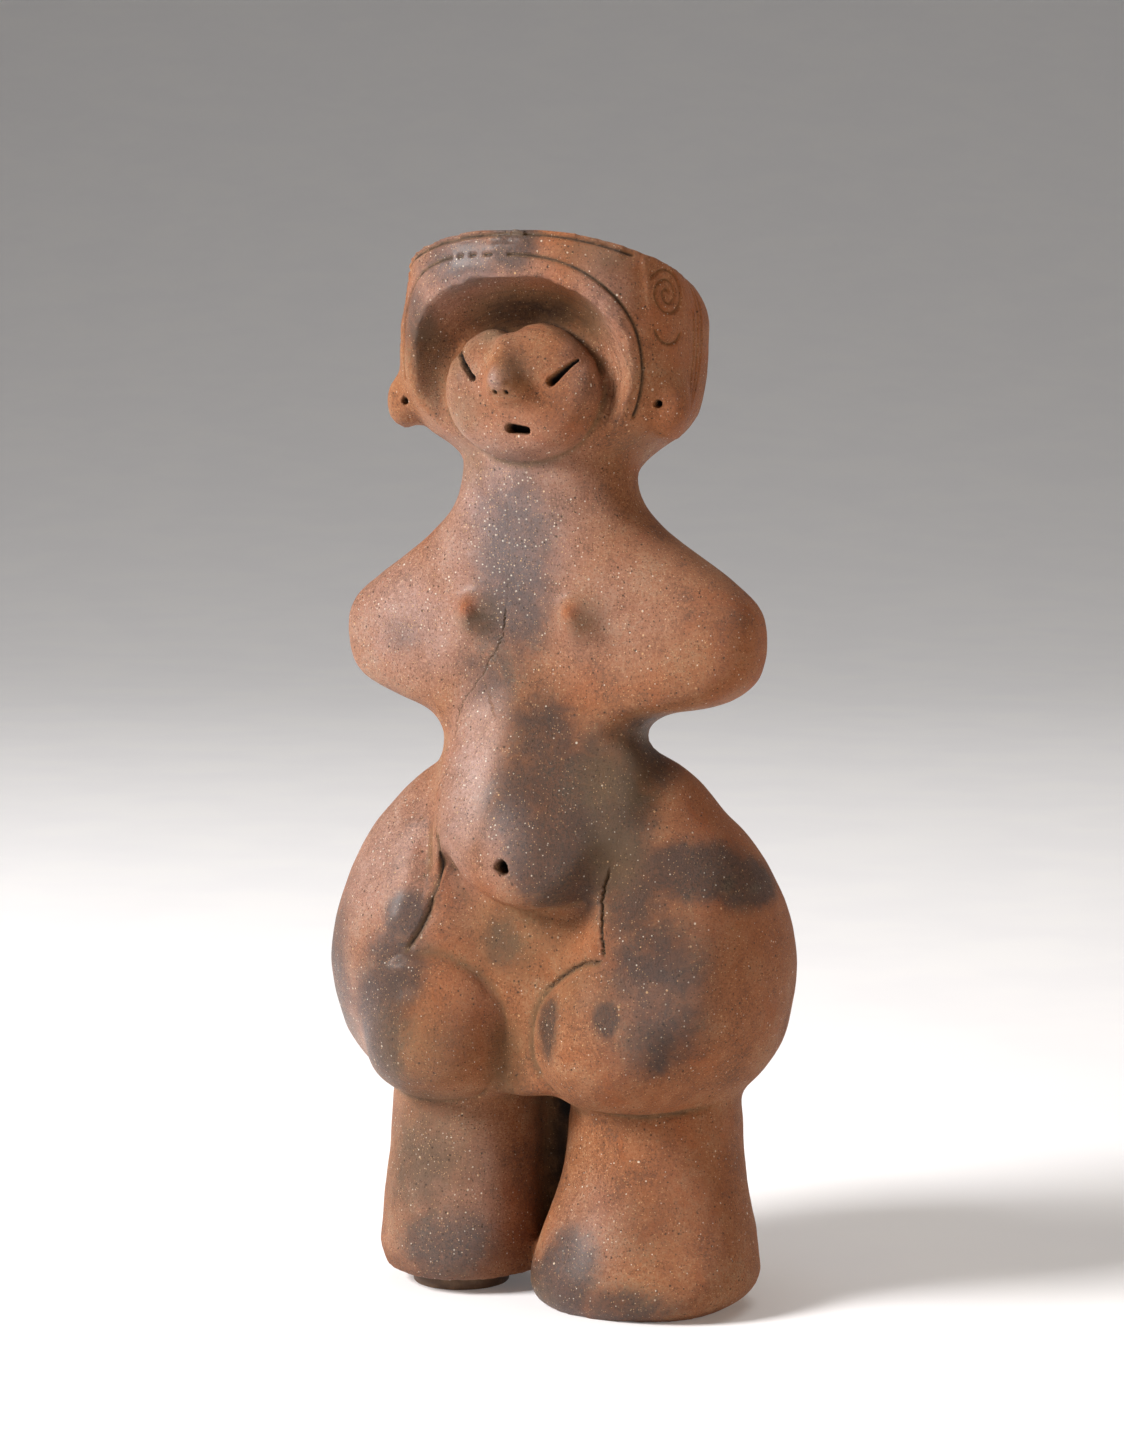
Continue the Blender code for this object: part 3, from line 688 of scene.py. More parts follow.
@dataclass(frozen=True)
class Hole:
    """A pricked or cut hole, pushed in along +Y.

    path is its line from the front, half the half width at each of its ends, deep its depth at each, and
    dark how much painted shade lies in it.
    """

    path: Sequence[Point2]
    half: Point2
    deep: Point2
    lip: float = 0.12
    dark: float = 1.0


@dataclass(frozen=True)
class Spot:
    """A soft ellipsoidal place on the clay, with how strong it is there."""

    at: Point3
    reach: Point3
    strength: float = 1.0


@dataclass
class Clay:
    """The clay while it is worked: the object, with its points and normals as arrays in millimetres."""

    thing: bpy.types.Object
    at: np.ndarray = field(default_factory=lambda: np.zeros((0, 3)))
    normal: np.ndarray = field(default_factory=lambda: np.zeros((0, 3)))
    edges: np.ndarray = field(default_factory=lambda: np.zeros((0, 2), int))

    def read(self) -> None:
        """Read points, normals and edges from the mesh."""
        mesh = self.thing.data
        count = len(mesh.vertices)
        flat = np.zeros(count * 3, np.float32)
        mesh.vertices.foreach_get("co", flat)
        self.at = flat.reshape(-1, 3).astype(float) / MM
        mesh.vertices.foreach_get("normal", flat)
        self.normal = flat.reshape(-1, 3).astype(float)
        pairs = np.zeros(len(mesh.edges) * 2, np.int32)
        mesh.edges.foreach_get("vertices", pairs)
        self.edges = pairs.reshape(-1, 2)

    def write(self) -> None:
        """Write the points back to the mesh and read the new normals."""
        self.thing.data.vertices.foreach_set("co", (self.at * MM).astype(np.float32).ravel())
        self.thing.data.update()
        self.read()

    def blur(self, passes: int, pull: float | np.ndarray, back: float = 0.0) -> None:
        """Even the surface by moving each point towards its neighbours.

        Args:
            passes: How many times.
            pull: The share of the way, for all points or for each.
            back: How far each pass is then undone, which keeps the volume.
        """
        a, b = self.edges[:, 0], self.edges[:, 1]
        count = len(self.at)
        links = np.bincount(a, minlength=count) + np.bincount(b, minlength=count)
        links = np.maximum(links, 1)[:, None]
        pull = np.broadcast_to(np.asarray(pull, float), (count,))[:, None]
        for _ in range(passes):
            for share in (pull, -back * pull) if back else (pull,):
                total = np.zeros_like(self.at)
                for k in range(3):
                    total[:, k] = (np.bincount(a, self.at[b, k], minlength=count)
                                   + np.bincount(b, self.at[a, k], minlength=count))
                self.at += share * (total / links - self.at)

    def surface(self) -> BVHTree:
        """A search tree of the surface, in millimetres."""
        faces = [tuple(f.vertices) for f in self.thing.data.polygons]
        return BVHTree.FromPolygons([tuple(p) for p in self.at], faces)


@dataclass
class Carving:
    """All that is drawn, cut and broken into the clay, with the sizes it is drawn from.

    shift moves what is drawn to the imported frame. The crown's height is that of its front edge on the
    middle line, and it changes with the fall to the back, the lean to one side and the bow to both.
    """

    shift: Point2 = (0.04, -3.18)
    crown: float = 270.8
    crown_front: float = -30.0
    crown_fall: float = 0.22
    crown_lean: float = 0.008
    crown_bow: float = 0.0043
    head_middle: float = 1.6
    head_half: Point2 = (37.0, 31.6)
    head_square: float = 2.5
    rim_ends: Point2 = (-33.0, 29.0)
    rim_drop: float = 2.4
    dashes: Sequence[float] = (102.3, 97.0, 92.4)
    spiral_centre: float = -12.7
    spiral_drop: float = 16.9
    spiral_radii: Point2 = (5.9, 6.2)
    spiral_start: float = 140.0
    spiral_turns: float = 2.25
    spiral_close: float = 0.88
    smile_centre: float = -12.6
    smile_drop: float = 24.2
    smile_radius: float = 4.9
    arch_centre: Point2 = (-0.7, 236.0)
    arch_radii: Point2 = (32.0, 27.4)
    face_centre: Point2 = (0.0, 230.0)
    face_radii: Point2 = (20.6, 17.4)
    notch_centre: float = -3.0
    notch_half: float = 3.8
    notch_deep: float = 3.6
    eye_slope: float = 46.0
    ear_hole: Point2 = (33.8, 227.2)
    nostril: Point2 = (1.5, 230.2)

    def _front(self, points: Iterable[Sequence[float]]) -> list[Point2]:
        """Front points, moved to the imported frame."""
        return [(x + self.shift[0], z) for x, z in points]

    def _side(self, points: Iterable[Sequence[float]]) -> list[Point2]:
        """Side points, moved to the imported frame."""
        return [(y + self.shift[1], z) for y, z in points]

    def _arch(self, start: float, end: float) -> list[Point2]:
        """The hood line round the face between two angles in degrees, squarer on the figure's right.

        Args:
            start: The first angle.
            end: The last angle.

        Returns:
            Front points.
        """
        out = []
        for turn in np.radians(np.linspace(start, end, max(3, int(abs(end - start) / 4)))):
            square = 2.3 if turn < math.pi / 2 else 3.3
            if turn < 0 or turn > math.pi:
                square = 2.0
            c, s = math.cos(turn), math.sin(turn)
            out.append((
                self.arch_centre[0] + self.arch_radii[0] * math.copysign(abs(c) ** (2 / square), c),
                self.arch_centre[1] + self.arch_radii[1] * math.copysign(abs(s) ** (2 / square), s),
            ))
        return self._front(out)

    def _rim(self) -> list[Point2]:
        """The line that follows the crown round the front.

        Returns:
            Front points.
        """
        out = []
        wide, deep = self.head_half
        for x in np.linspace(*self.rim_ends, 20):
            y = self.head_middle - deep * (1 - abs(x / wide) ** self.head_square) ** (1 / self.head_square)
            out.append((x, self._crown_at(x, y) - self.rim_drop))
        return self._front(out)

    def _crown_at(self, x: float | np.ndarray, y: float | np.ndarray) -> float | np.ndarray:
        """The height of the crown, which falls to the back and bows down to both sides."""
        back = y - self.crown_front
        return self.crown - self.crown_fall * back + self.crown_lean * x - self.crown_bow * x * x

    def crown_over(self, at: np.ndarray) -> np.ndarray:
        """How high the crown stands over each point."""
        return self._crown_at(at[:, 0] - self.shift[0], at[:, 1] - self.shift[1])

    def _spiral(self) -> list[Point2]:
        """The spiral on the side of the headdress, from its open end to its heart.

        Returns:
            Side points.
        """
        out = []
        across, up = self.spiral_radii
        for share in np.linspace(0, 1, 48):
            turn = math.radians(self.spiral_start) - self.spiral_turns * math.tau * share
            r = 1 - self.spiral_close * share
            y = self.spiral_centre + across * r * math.cos(turn)
            out.append((y, self.crown - self.spiral_drop + up * r * math.sin(turn)))
        return self._side(out)

    def _face_ring(self, gap: float, start: float, end: float) -> list[Point2]:
        """Part of a ring round the face, so far outside it, between two angles in degrees.

        Args:
            gap: How far outside.
            start: The first angle.
            end: The last angle.

        Returns:
            Front points.
        """
        out = []
        for turn in np.radians(np.linspace(start, end, max(3, int(abs(end - start) / 6)))):
            x = (self.face_radii[0] + gap) * math.cos(turn)
            z = (self.face_radii[1] + gap) * math.sin(turn)
            notch = 0.0
            if z > 0:
                notch = self.notch_deep * math.exp(-(((x - self.notch_centre) / self.notch_half) ** 2))
            out.append((self.face_centre[0] + x, self.face_centre[1] + z - notch))
        return self._front(out)

    def lines(self) -> list[Drawn]:
        """The lines of the headdress, drawn with a stick.

        Returns:
            The lines.
        """
        arch_left = self._arch(-26, 89)
        arch_right = self._arch(107, 186)
        out = [Drawn(View.FRONT, arch_left), Drawn(View.FRONT, arch_right), Drawn(View.FRONT, self._rim())]
        for turn in self.dashes:
            dash = self._arch(turn - 0.7, turn + 0.7)
            out.append(Drawn(View.FRONT, dash, wide=0.9, deep=0.7, burr=0.02, dark=1.0))
        r, middle = self.smile_radius, self.crown - self.smile_drop
        smile = [(self.smile_centre + r * math.cos(t), middle + r * math.sin(t))
                 for t in np.radians(np.linspace(200, 330, 8))]
        for view in (View.LEFT, View.RIGHT):
            out.append(Drawn(view, self._spiral(), wide=0.95, deep=0.55, dark=0.5))
            out.append(Drawn(view, self._side(smile), wide=0.95, deep=0.5, dark=0.6))
            for back, top, foot in ((-1.6, 20, 47), (0.8, 14, 50), (3.4, 16, 48)):
                ends = [(back, self.crown - top), (back + 1, self.crown - 33), (back - 4, self.crown - foot)]
                out.append(Drawn(view, self._side(ends), wide=0.95, deep=0.6, dark=0.75, taper=3))
        return out

    def creases(self) -> list[Drawn]:
        """The folds between belly, groin and thighs, and round the face, with painted shade in them.

        Returns:
            The folds.
        """
        edge = [(-20.6, 121), (-19.4, 116), (-19.2, 112), (-21.4, 106.4), (-23.4, 99.5), (-25.6, 94.2),
                (-29.4, 88.6)]
        left = [(-28.2, 89.8), (-19.6, 89.8), (-14.1, 87.4), (-9.4, 84.2), (-5.8, 79.8), (-3.6, 74.3),
                (-3.4, 66.6), (-5.2, 60), (-9, 55)]
        left_under = [(-6.4, 57.6), (-9, 54.6), (-13.1, 51.2), (-21.1, 49.5), (-29.6, 49.2), (-39.6, 49.8),
                      (-47, 51.4)]
        right = [(26, 90.9), (17.5, 88.7), (9.6, 83.3), (5.2, 77.5), (3.4, 71), (3.9, 63.4), (7.3, 57.8)]
        right_under = [(5.8, 59.6), (8.4, 56.6), (12.4, 53.6), (20.2, 50.6), (30.5, 49.6), (41.3, 50.7),
                       (48, 52)]
        rim = [(-15.4, 110.9), (-12, 107.8), (-8, 105.4), (-3.3, 103.3), (2, 102.1), (7, 101.8), (12, 102.4),
               (16.5, 104.0), (21, 106.6)]
        # Painted shade: the dark of each fold stands for the shadow in it, as under the chin along the face
        # ring.
        folds = [
            (self._front(edge), 1.7, 1.25, 1.0, 3),
            (self._front(left), 4.0, 1.3, 0.50, 5),
            (self._front(right), 3.2, 1.0, 0.62, 3),
            (self._front(left_under), 2.4, 0.9, 0.60, 8),
            (self._front(right_under), 2.0, 1.0, 0.78, 8),
            (self._front(rim), 2.6, 0.5, 0.42, 8),
            (self._face_ring(0.8, -175, 15), 2.4, 0.75, 0.55, 4),
            (self._face_ring(0.5, 5, 190), 2.2, 1.25, 0.85, 5),
        ]
        return [
            Drawn(View.FRONT, path, wide, deep, burr=0.0, dark=dark, sharp=1.6, taper=taper)
            for path, wide, deep, dark, taper in folds
        ]

    def nose(self) -> list[Point2]:
        """The ridge of the nose, from the brow to the tip."""
        return self._front([(-2.4, 245), (-1.2, 238), (-0.2, 230.5)])

    def ridges(self) -> list[Drawn]:
        """The raised edge at the corner of the side panel.

        Returns:
            The edge.
        """
        corner = self._front([(30.2, 267.2), (31.4, 262.8), (31.7, 257.8), (32.4, 252.5)])
        return [Drawn(View.FRONT, corner, 1.7, -0.55, burr=0.0, dark=0.0, sharp=2.0, taper=3.0)]

    def cracks(self) -> list[Drawn]:
        """The cracks in the chest and hips.

        Returns:
            The cracks.
        """
        chest = [(-3.4, 208), (-3.6, 203), (-3.5, 193), (-4.5, 178), (-5.6, 171)]
        belly = [(-4.6, 177), (-5.6, 171), (-6.6, 167.6), (-9.3, 163), (-11.3, 159), (-14, 155.4),
                 (-16.5, 152.2), (-17.9, 147.2), (-18.5, 142.2)]
        branch = [(-11.3, 159), (-9.4, 155.6), (-8.3, 152.3), (-5.5, 148.1)]
        hip = [(-17.9, 137.4), (-20.6, 134), (-22.3, 129.6), (-25, 125.1)]
        fold = [(-19.8, 133.5), (-20.8, 127.8), (-20.6, 121), (-19.4, 116)]
        nick = [(-28.0, 124.5), (-29.2, 122), (-30.0, 120.5)]
        left_hip = [(25.2, 113.1), (24.2, 109.3), (23.7, 105.4), (24.2, 99.6), (25.3, 94.2), (26.4, 90.9)]
        thigh = [(26.4, 90.9), (22.4, 90.3), (17.5, 88.5), (13.8, 86.3), (9.6, 83.1), (6.8, 80.8)]
        sizes = ((chest, 0.34, 0.16, 0.38), (belly, 0.38, 0.32, 0.85), (branch, 0.34, 0.24, 0.65),
                 (hip, 0.42, 0.32, 0.85), (fold, 0.40, 0.28, 0.70), (nick, 0.5, 0.3, 0.8),
                 (left_hip, 0.75, 0.8, 1.0), (thigh, 0.6, 0.5, 0.95))
        return [
            Drawn(View.FRONT, self._front(path), wide, deep, 0.0, dark, shake=0.26, sharp=2.0, taper=2.5)
            for path, wide, deep, dark in sizes
        ]

    def wipes(self) -> list[Drawn]:
        """Marks of the smoothing tool beside the face.

        Returns:
            The marks.
        """
        return [
            Drawn(View.FRONT, self._face_ring(gap, start, end), 0.8, 0.22, burr=0.04, dark=0.25, taper=3)
            for gap, start, end in ((2.4, -46, 24), (3.5, -24, 16))
        ]

    def holes(self) -> list[Hole]:
        """The eyes, mouth, nostrils, navel and ear holes.

        Returns:
            The holes.
        """
        sx = self.shift[0]
        out = []
        c, s = math.cos(math.radians(self.eye_slope)), math.sin(math.radians(self.eye_slope))
        eyes = ((-1, 9.8, 3.2, 9.2, (0.66, 0.72), (3.8, 2.0)), (1, 10.9, 2.6, 7.0, (0.95, 0.42), (3.8, 1.2)))
        for side, start, lift, run, half, deep in eyes:
            inner = (side * start + sx, self.face_centre[1] + lift)
            outer = (side * (start + run * c) + sx, self.face_centre[1] + lift + run * s)
            out.append(Hole([inner, outer], half, deep, 0.18))
            ear = (side * self.ear_hole[0] + sx, self.ear_hole[1])
            out.append(Hole([ear], (0.85, 0.85), (3.2, 3.2), 0.1))
            nostril = (side * self.nostril[0] - 0.2 + sx, self.nostril[1])
            out.append(Hole([nostril], (0.5, 0.5), (1.1, 1.1), 0.05))
        out.append(Hole([(0.1 + sx, 221.1), (4.2 + sx, 220.6)], (1.1, 0.85), (4.2, 3.6), 0.14))
        out.append(Hole([(0.4 + sx, 113.6), (0.9 + sx, 112.9)], (1.45, 1.2), (4.6, 4.6), 0.22))
        return out


@dataclass(frozen=True)
class Lump:
    """A low swelling of the clay: its place, reach, height, how pointed it is, and which way it rises."""

    at: Point3
    reach: Point3
    high: float
    point: float = 2.0
    way: Point3 = (0.0, -1.0, 0.0)


@dataclass
class ClayFigure:
    """The figure's clay skin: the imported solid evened, refined and carved, then dressed.

    The four by_ fields say how far round the lines, tips, cuts and cracks the clay gets smaller faces.
    The seed fixes how the cracks wander, so that each run gives the same clay.
    """

    node: str = "figurine"
    seed: int = 7
    grain: float = 1.5
    soft_passes: int = 36
    neck: float = 206.0
    standing: float = 0.6
    crown_worn: float = 0.75
    corner_turn: float = 22.0
    corner_tall: float = 9.0
    corner_in: float = 3.9
    corner_way: Point2 = (0.927, 0.375)
    by_lines: float = 2.3
    by_tips: float = 5.0
    by_cuts: float = 1.3
    by_cracks: float = 0.7
    kept_crisp: Sequence[Point3] = ((-14, -23.5, 174), (14, -23.5, 174), (0, -37, 235))
    finish: FiredClay = field(default_factory=FiredClay)
    carving: Carving = field(default_factory=Carving)
    # Grey fire clouds, partly painted shade: on the figure's left hip and belly, which are in shade, they
    # are darkened to stand in for shade.
    fire_clouds_and_shade: Sequence[Spot] = (
        Spot((1, -33, 267), (7, 14, 8), 1.0),
        Spot((-14, -30, 262), (18, 12, 9), 0.55),
        Spot((7, -36, 238), (6, 7, 7), 0.30),
        Spot((-27, -28, 246), (7, 12, 14), 0.45),
        Spot((-2, -24, 190), (14, 16, 27), 0.62),
        Spot((-3, -24, 176), (13, 14, 16), 0.66),
        Spot((-6, -24, 160), (14, 14, 12), 0.50),
        Spot((6, -28, 146), (12, 14, 14), 0.62),
        Spot((2, -32, 130), (10, 12, 16), 0.66),
        Spot((12, -30, 132), (12, 12, 16), 0.80),
        Spot((21, -26, 122), (15, 18, 22), 1.0),
        Spot((12, -36, 118), (12, 12, 16), 0.95),
        Spot((16, -33, 112), (14, 12, 11), 1.0),
        Spot((4, -36, 118), (5, 7, 7), 0.6),
        Spot((28, -12, 140), (10, 14, 14), 0.72),
        Spot((43, -17, 112), (18, 18, 8), 1.0),
        Spot((54, -6, 108), (10, 16, 7), 0.95),
        Spot((31, -25, 104), (10, 12, 16), 0.75),
        Spot((38, -30, 90), (16, 14, 16), 0.62),
        Spot((42, -33, 74), (18, 12, 14), 0.55),
        Spot((27.6, -36, 77), (4, 8, 5), 0.95),
        Spot((10, -32, 73), (5, 8, 9), 0.85),
        Spot((39, -31, 66), (4, 7, 4), 0.6),
        Spot((-29, -31, 98.5), (6, 9, 7), 1.0),
        Spot((-31, -33, 84), (10, 12, 15), 0.78),
        Spot((-34, -32, 72), (11, 16, 20), 0.90),
        Spot((-52, -16, 80), (14, 18, 24), 0.60),
        Spot((-4, -27, 93), (6, 8, 8), 0.55),
        Spot((-35, -20, 168), (8, 9, 6), 0.34),
        Spot((20, -30, 128), (12, 16, 22), 0.90),
        Spot((14, -31, 10), (11, 12, 13), 1.0),
        Spot((4, -24, 5), (8, 14, 8), 0.85),
        Spot((30, -32, 4), (16, 12, 7), 0.65),
        Spot((-20, -26, 14), (15, 14, 11), 0.72),
        Spot((-30, -24, 34), (16, 14, 20), 0.42),
        Spot((34, -24, 20), (12, 12, 20), 0.30),
        Spot((20, 34, 100), (24, 14, 20), 0.8),
        Spot((-26, 36, 78), (18, 14, 16), 0.7),
        Spot((-14, 20, 172), (18, 10, 14), 0.7),
        Spot((12, 30, 246), (14, 10, 10), 0.7),
        Spot((-24, 24, 20), (12, 12, 16), 0.6),
    )
    # Polish and painted sheen: these lie mostly on the lit side, and the lilac they mix into the colour
    # stands for sheen.
    polished_and_sheen: Sequence[Spot] = (
        Spot((-8, -24, 196), (26, 16, 30), 1.0),
        Spot((-32, -18, 172), (28, 16, 18), 0.9),
        Spot((18, -20, 176), (24, 12, 18), 0.40),
        Spot((-13, -32, 138), (10, 16, 32), 1.0),
        Spot((0, -38, 120), (8, 8, 12), 0.7),
        Spot((-40, -22, 110), (20, 24, 30), 0.7),
        Spot((-44, -20, 70), (16, 20, 30), 0.6),
        Spot((34, -30, 80), (16, 12, 14), 0.25),
        Spot((-16, -34, 256), (26, 14, 14), 0.8),
        Spot((22, -28, 246), (8, 10, 22), 0.45),
        Spot((-14, -34, 228), (10, 10, 14), 0.40),
        # Painted highlight on the nose tip.
        Spot((-1.2, -41, 233.5), (2.6, 5, 3.6), 1.0),
        Spot((-22, -24, 26), (18, 14, 26), 0.5),
        Spot((16, -30, 18), (14, 12, 20), 0.45),
    )
    # Red patches, partly painted shade: those on the figure's left side warm its shaded side.
    reddened_and_shade_warmed: Sequence[Spot] = (
        Spot((-14, -30, 72), (13, 12, 17), 0.60),
        Spot((20, -28, 96), (9, 10, 8), 0.60),
        Spot((52, -4, 128), (18, 26, 18), 0.85),
        Spot((50, 0, 96), (16, 26, 30), 0.65),
        Spot((52, 0, 160), (12, 22, 20), 0.75),
        Spot((20, -24, 250), (14, 14, 22), 0.45),
        Spot((0, -20, 254), (28, 12, 9), 0.75),
        Spot((34, -24, 60), (16, 16, 14), 0.40),
        Spot((10, -30, 222), (14, 12, 12), 0.50),
        Spot((36, -8, 224), (9, 16, 12), 0.80),
        Spot((36, -6, 250), (9, 20, 18), 0.65),
        Spot((22, -28, 264), (18, 16, 8), 0.60),
        Spot((4, -24, 252), (26, 10, 7), 0.50),
        Spot((-10, -34, 106), (12, 9, 7), 0.70),
        Spot((40, -12, 26), (18, 20, 30), 0.45),
        Spot((-8, -18, 12), (10, 14, 12), 0.6),
    )
    # Dirt and painted shade: darker spots in the hood's recess, beside the nose and cheek, under the
    # headdress, beside the breasts, at the hip, groin, thighs and feet, and black between the legs.
    soiled_and_shaded: Sequence[Spot] = (
        Spot((0, -18, 250), (20, 8, 8), 0.75),
        Spot((16, -22, 246), (9, 8, 9), 0.55),
        Spot((-24, -26, 236), (6, 10, 16), 0.50),
        Spot((2.5, -36, 235), (6, 9, 8), 0.34),
        Spot((-13, -33, 226), (8, 10, 10), 0.36),
        Spot((0, -26, 94), (19, 9, 15), 0.42),
        Spot((-4, -24, 62), (8, 10, 18), 0.50),
        Spot((-26, -22, 55), (20, 12, 9), 0.50),
        Spot((-22, -34, 66), (16, 12, 16), 0.42),
        Spot((-27, -20, 34), (20, 14, 26), 0.44),
        Spot((20, -34, 84), (14, 10, 12), 0.30),
        # Painted shade: black in the gap between the legs, where no light reaches.
        Spot((0, 8, 30), (5.4, 17, 40), 1.0),
        Spot((1, 6, 46), (6.5, 16, 12), 1.0),
        Spot((28, -16, 214), (10, 12, 8), 0.42),
        Spot((24, -30, 264), (16, 12, 7), 0.46),
        Spot((-18, -20, 212), (12, 12, 8), 0.40),
        Spot((-11.6, -25, 174), (7, 8, 7), 0.44),
        Spot((16.4, -25, 175.5), (7, 8, 7), 0.36),
        Spot((24, -22, 134), (12, 14, 14), 0.50),
        Spot((26, -28, 118), (9, 12, 14), 0.50),
        Spot((0, -30, 4), (14, 20, 5), 0.40),
    )
    roughened: Sequence[Spot] = (
        Spot((-7, -27, 243), (6, 6, 5), 1.0),
        Spot((-14, -29, 238), (5, 6, 6), 0.8),
        Spot((5, -18, 249), (12, 5, 4), 0.9),
        Spot((-15, -29, 116), (5, 6, 10), 0.6),
        Spot((-5, -18, 7), (8, 12, 8), 0.9),
        Spot((44, -20, 6), (16, 16, 8), 0.7),
        Spot((-24, -22, 6), (26, 20, 4), 0.7),
        Spot((51, -14, 108.5), (2, 3, 2.6), 0.8),
    )
    paled: Sequence[Spot] = (
        Spot((50.9, -13.8, 108.5), (1.1, 4, 2.2), 0.95),
        Spot((55.1, -5.6, 106.8), (1.0, 4, 1.4), 0.80),
        Spot((-7, -27, 244), (4, 6, 3), 0.60),
        Spot((-16, -29, 240), (4, 6, 6), 0.40),
    )
    wiped: Sequence[Spot] = (
        Spot((0, -20, 248), (26, 12, 9), 1.0),
        Spot((24, -26, 236), (8, 10, 22), 0.8),
        Spot((-25, -26, 238), (7, 10, 16), 0.6),
    )
    nipples: Sequence[Lump] = (
        Lump((-14.2, -25.6, 176.6), (2.5, 7, 2.5), 2.3, 2.0),
        Lump((13.4, -25.6, 176.4), (2.5, 7, 2.5), 2.3, 2.0),
    )
    swellings: Sequence[Lump] = (
        Lump((-18.5, -33, 68), (12, 14, 14), 0.9),
        Lump((20.5, -33, 70), (13, 14, 14), 0.9),
        Lump((-13.8, -25, 174.6), (7.5, 9, 7.5), 1.5),
        Lump((14.0, -25, 175.0), (7.5, 9, 7.5), 1.5),
    )

    def _skin(self) -> Clay:
        """A closed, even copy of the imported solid.

        Returns:
            The clay.
        """
        source = bpy.data.objects[self.node]
        thing = bpy.data.objects.new("clay_skin", source.data.copy())
        bpy.context.scene.collection.objects.link(thing)
        only(thing)
        bpy.ops.object.mode_set(mode="EDIT")
        bpy.ops.mesh.select_all(action="SELECT")
        bpy.ops.mesh.remove_doubles(threshold=0.00001)
        bpy.ops.mesh.normals_make_consistent(inside=False)
        bpy.ops.object.mode_set(mode="OBJECT")
        even = thing.modifiers.new("even_skin", "REMESH")
        even.mode = "VOXEL"
        even.voxel_size = self.grain * MM
        apply_all(thing)
        clay = Clay(thing)
        clay.read()
        return clay

    def _paths(self, clay: Clay, drawn: Sequence[Drawn]) -> list[np.ndarray]:
        """Lay drawn lines onto the clay, as dense points.

        Args:
            clay: The clay.
            drawn: The lines.

        Returns:
            The points of each line, in millimetres.
        """
        tree = clay.surface()
        sights = {
            View.FRONT: (lambda a, b: (a, -FAR_OUT, b), Vector((0, 1, 0))),
            View.LEFT: (lambda a, b: (FAR_OUT, a, b), Vector((-1, 0, 0))),
            View.RIGHT: (lambda a, b: (-FAR_OUT, a, b), Vector((1, 0, 0))),
        }
        out = []
        for line in drawn:
            start, direction = sights[line.view]
            dense = smooth_through(line.points, LINE_STEP)
            if line.shake:
                jitter = np.array([noise.noise_vector(Vector((p[0] * 0.9, p[1] * 0.9, 7.0))) for p in dense])
                fine = np.array([noise.noise_vector(Vector((p[0] * 3.1, p[1] * 3.1, 3.0))) for p in dense])
                dense = dense + line.shake * (2.0 * jitter[:, :2] + 1.2 * fine[:, :2])
            hits = []
            for a, b in dense:
                hit = tree.ray_cast(Vector(start(a, b)), direction)[0]
                if hit is not None:
                    hits.append(tuple(hit))
            out.append(np.array(hits).reshape(-1, 3))
        return out

    def _heal(self, clay: Clay, holes: Sequence[Hole]) -> None:
        """Fill the coarse cuts of the solid, so that fine ones can be made in their place.

        Args:
            clay: The clay.
            holes: The holes to fill.
        """
        fill = np.zeros(len(clay.at))
        for line, path in zip(self.carving.lines(), self._paths(clay, self.carving.lines())):
            if len(path):
                away, _ = away_from(path, clay.at, 2.3)
                fill = np.maximum(fill, ramp(away, 2.3, 1.5))
        for hole in holes:
            dense = smooth_through(hole.path, 0.3)
            reach = max(hole.half) + 2.0
            flat = tree_of(np.c_[dense, np.zeros(len(dense))])
            front = np.array([flat.find((x, z, 0.0))[2] for x, z in clay.at[:, [0, 2]]])
            near = (clay.at[:, 1] < 0) & (front < reach)
            fill = np.maximum(fill, np.where(near, ramp(front, reach, reach - 0.8), 0))
        fill *= 1 - ramp(clay.at[:, 2] - self.carving.crown_over(clay.at), -1.7, -0.9)
        clay.blur(110, 0.5 * fill)
        clay.write()

    def _even(self, clay: Clay) -> None:
        """Take the facets out of the surface, most on the broad forms, and pat the crown flat.

        Args:
            clay: The clay.
        """
        z = clay.at[:, 2]
        gentle = np.where(z > self.neck, 0.42, 1.0)
        for path in self._paths(clay, self.carving.creases()):
            away, _ = away_from(path, clay.at, 5.0)
            gentle = np.minimum(gentle, 0.16 + 0.84 * ramp(away, 1.8, 5.0))
        for spot in self.kept_crisp:
            away = np.linalg.norm(clay.at - spot, axis=1)
            gentle = np.minimum(gentle, 0.10 + 0.90 * ramp(away, 7.0, 14.0))
        gentle = np.where(z < 6, 0.25, gentle)
        gentle = np.where(z < self.standing, 0.0, gentle)
        clay.blur(self.soft_passes, 0.5 * gentle, back=1.03)
        clay.write()
        self._pat_crown(clay)

    def _pat_crown(self, clay: Clay) -> None:
        """Pat the crown flat, and draw in its corner at the far left of the figure.

        Args:
            clay: The clay.
        """
        gap = self.carving.crown_over(clay.at) - self.crown_worn - clay.at[:, 2]
        flat = ramp(clay.normal[:, 2], 0.45, 0.85) * (gap < 3.0) * (gap > -3.0)
        clay.at[:, 2] += gap * flat
        turn = math.radians(self.corner_turn)
        far = clay.at @ np.array([math.cos(turn), math.sin(turn), 0.0])
        high = np.clip((gap * (1 - flat) - self.corner_tall) / -self.corner_tall, 0, 1)
        draw_in = self.corner_in * ramp(far, 24.0, 42.0) * high**2
        clay.at[:, 0] -= draw_in * self.corner_way[0]
        clay.at[:, 1] -= draw_in * self.corner_way[1]
        clay.write()

    @staticmethod
    def _round_belly(clay: Clay) -> None:
        """Bend the belly's lower rim up towards its ends, so that it hangs as a round bowl.

        Args:
            clay: The clay.
        """
        x, y, z = clay.at.T
        lowest, rise = 6, 0.0185
        bend = rise * (x - lowest) ** 2 * ramp(x, -22.5, -16) * ramp(x, 27, 20) * ramp(y, -23, -29)
        clay.at[:, 2] += bend * ramp(z, 91, 102) * ramp(z, 125, 104)
        clay.write()

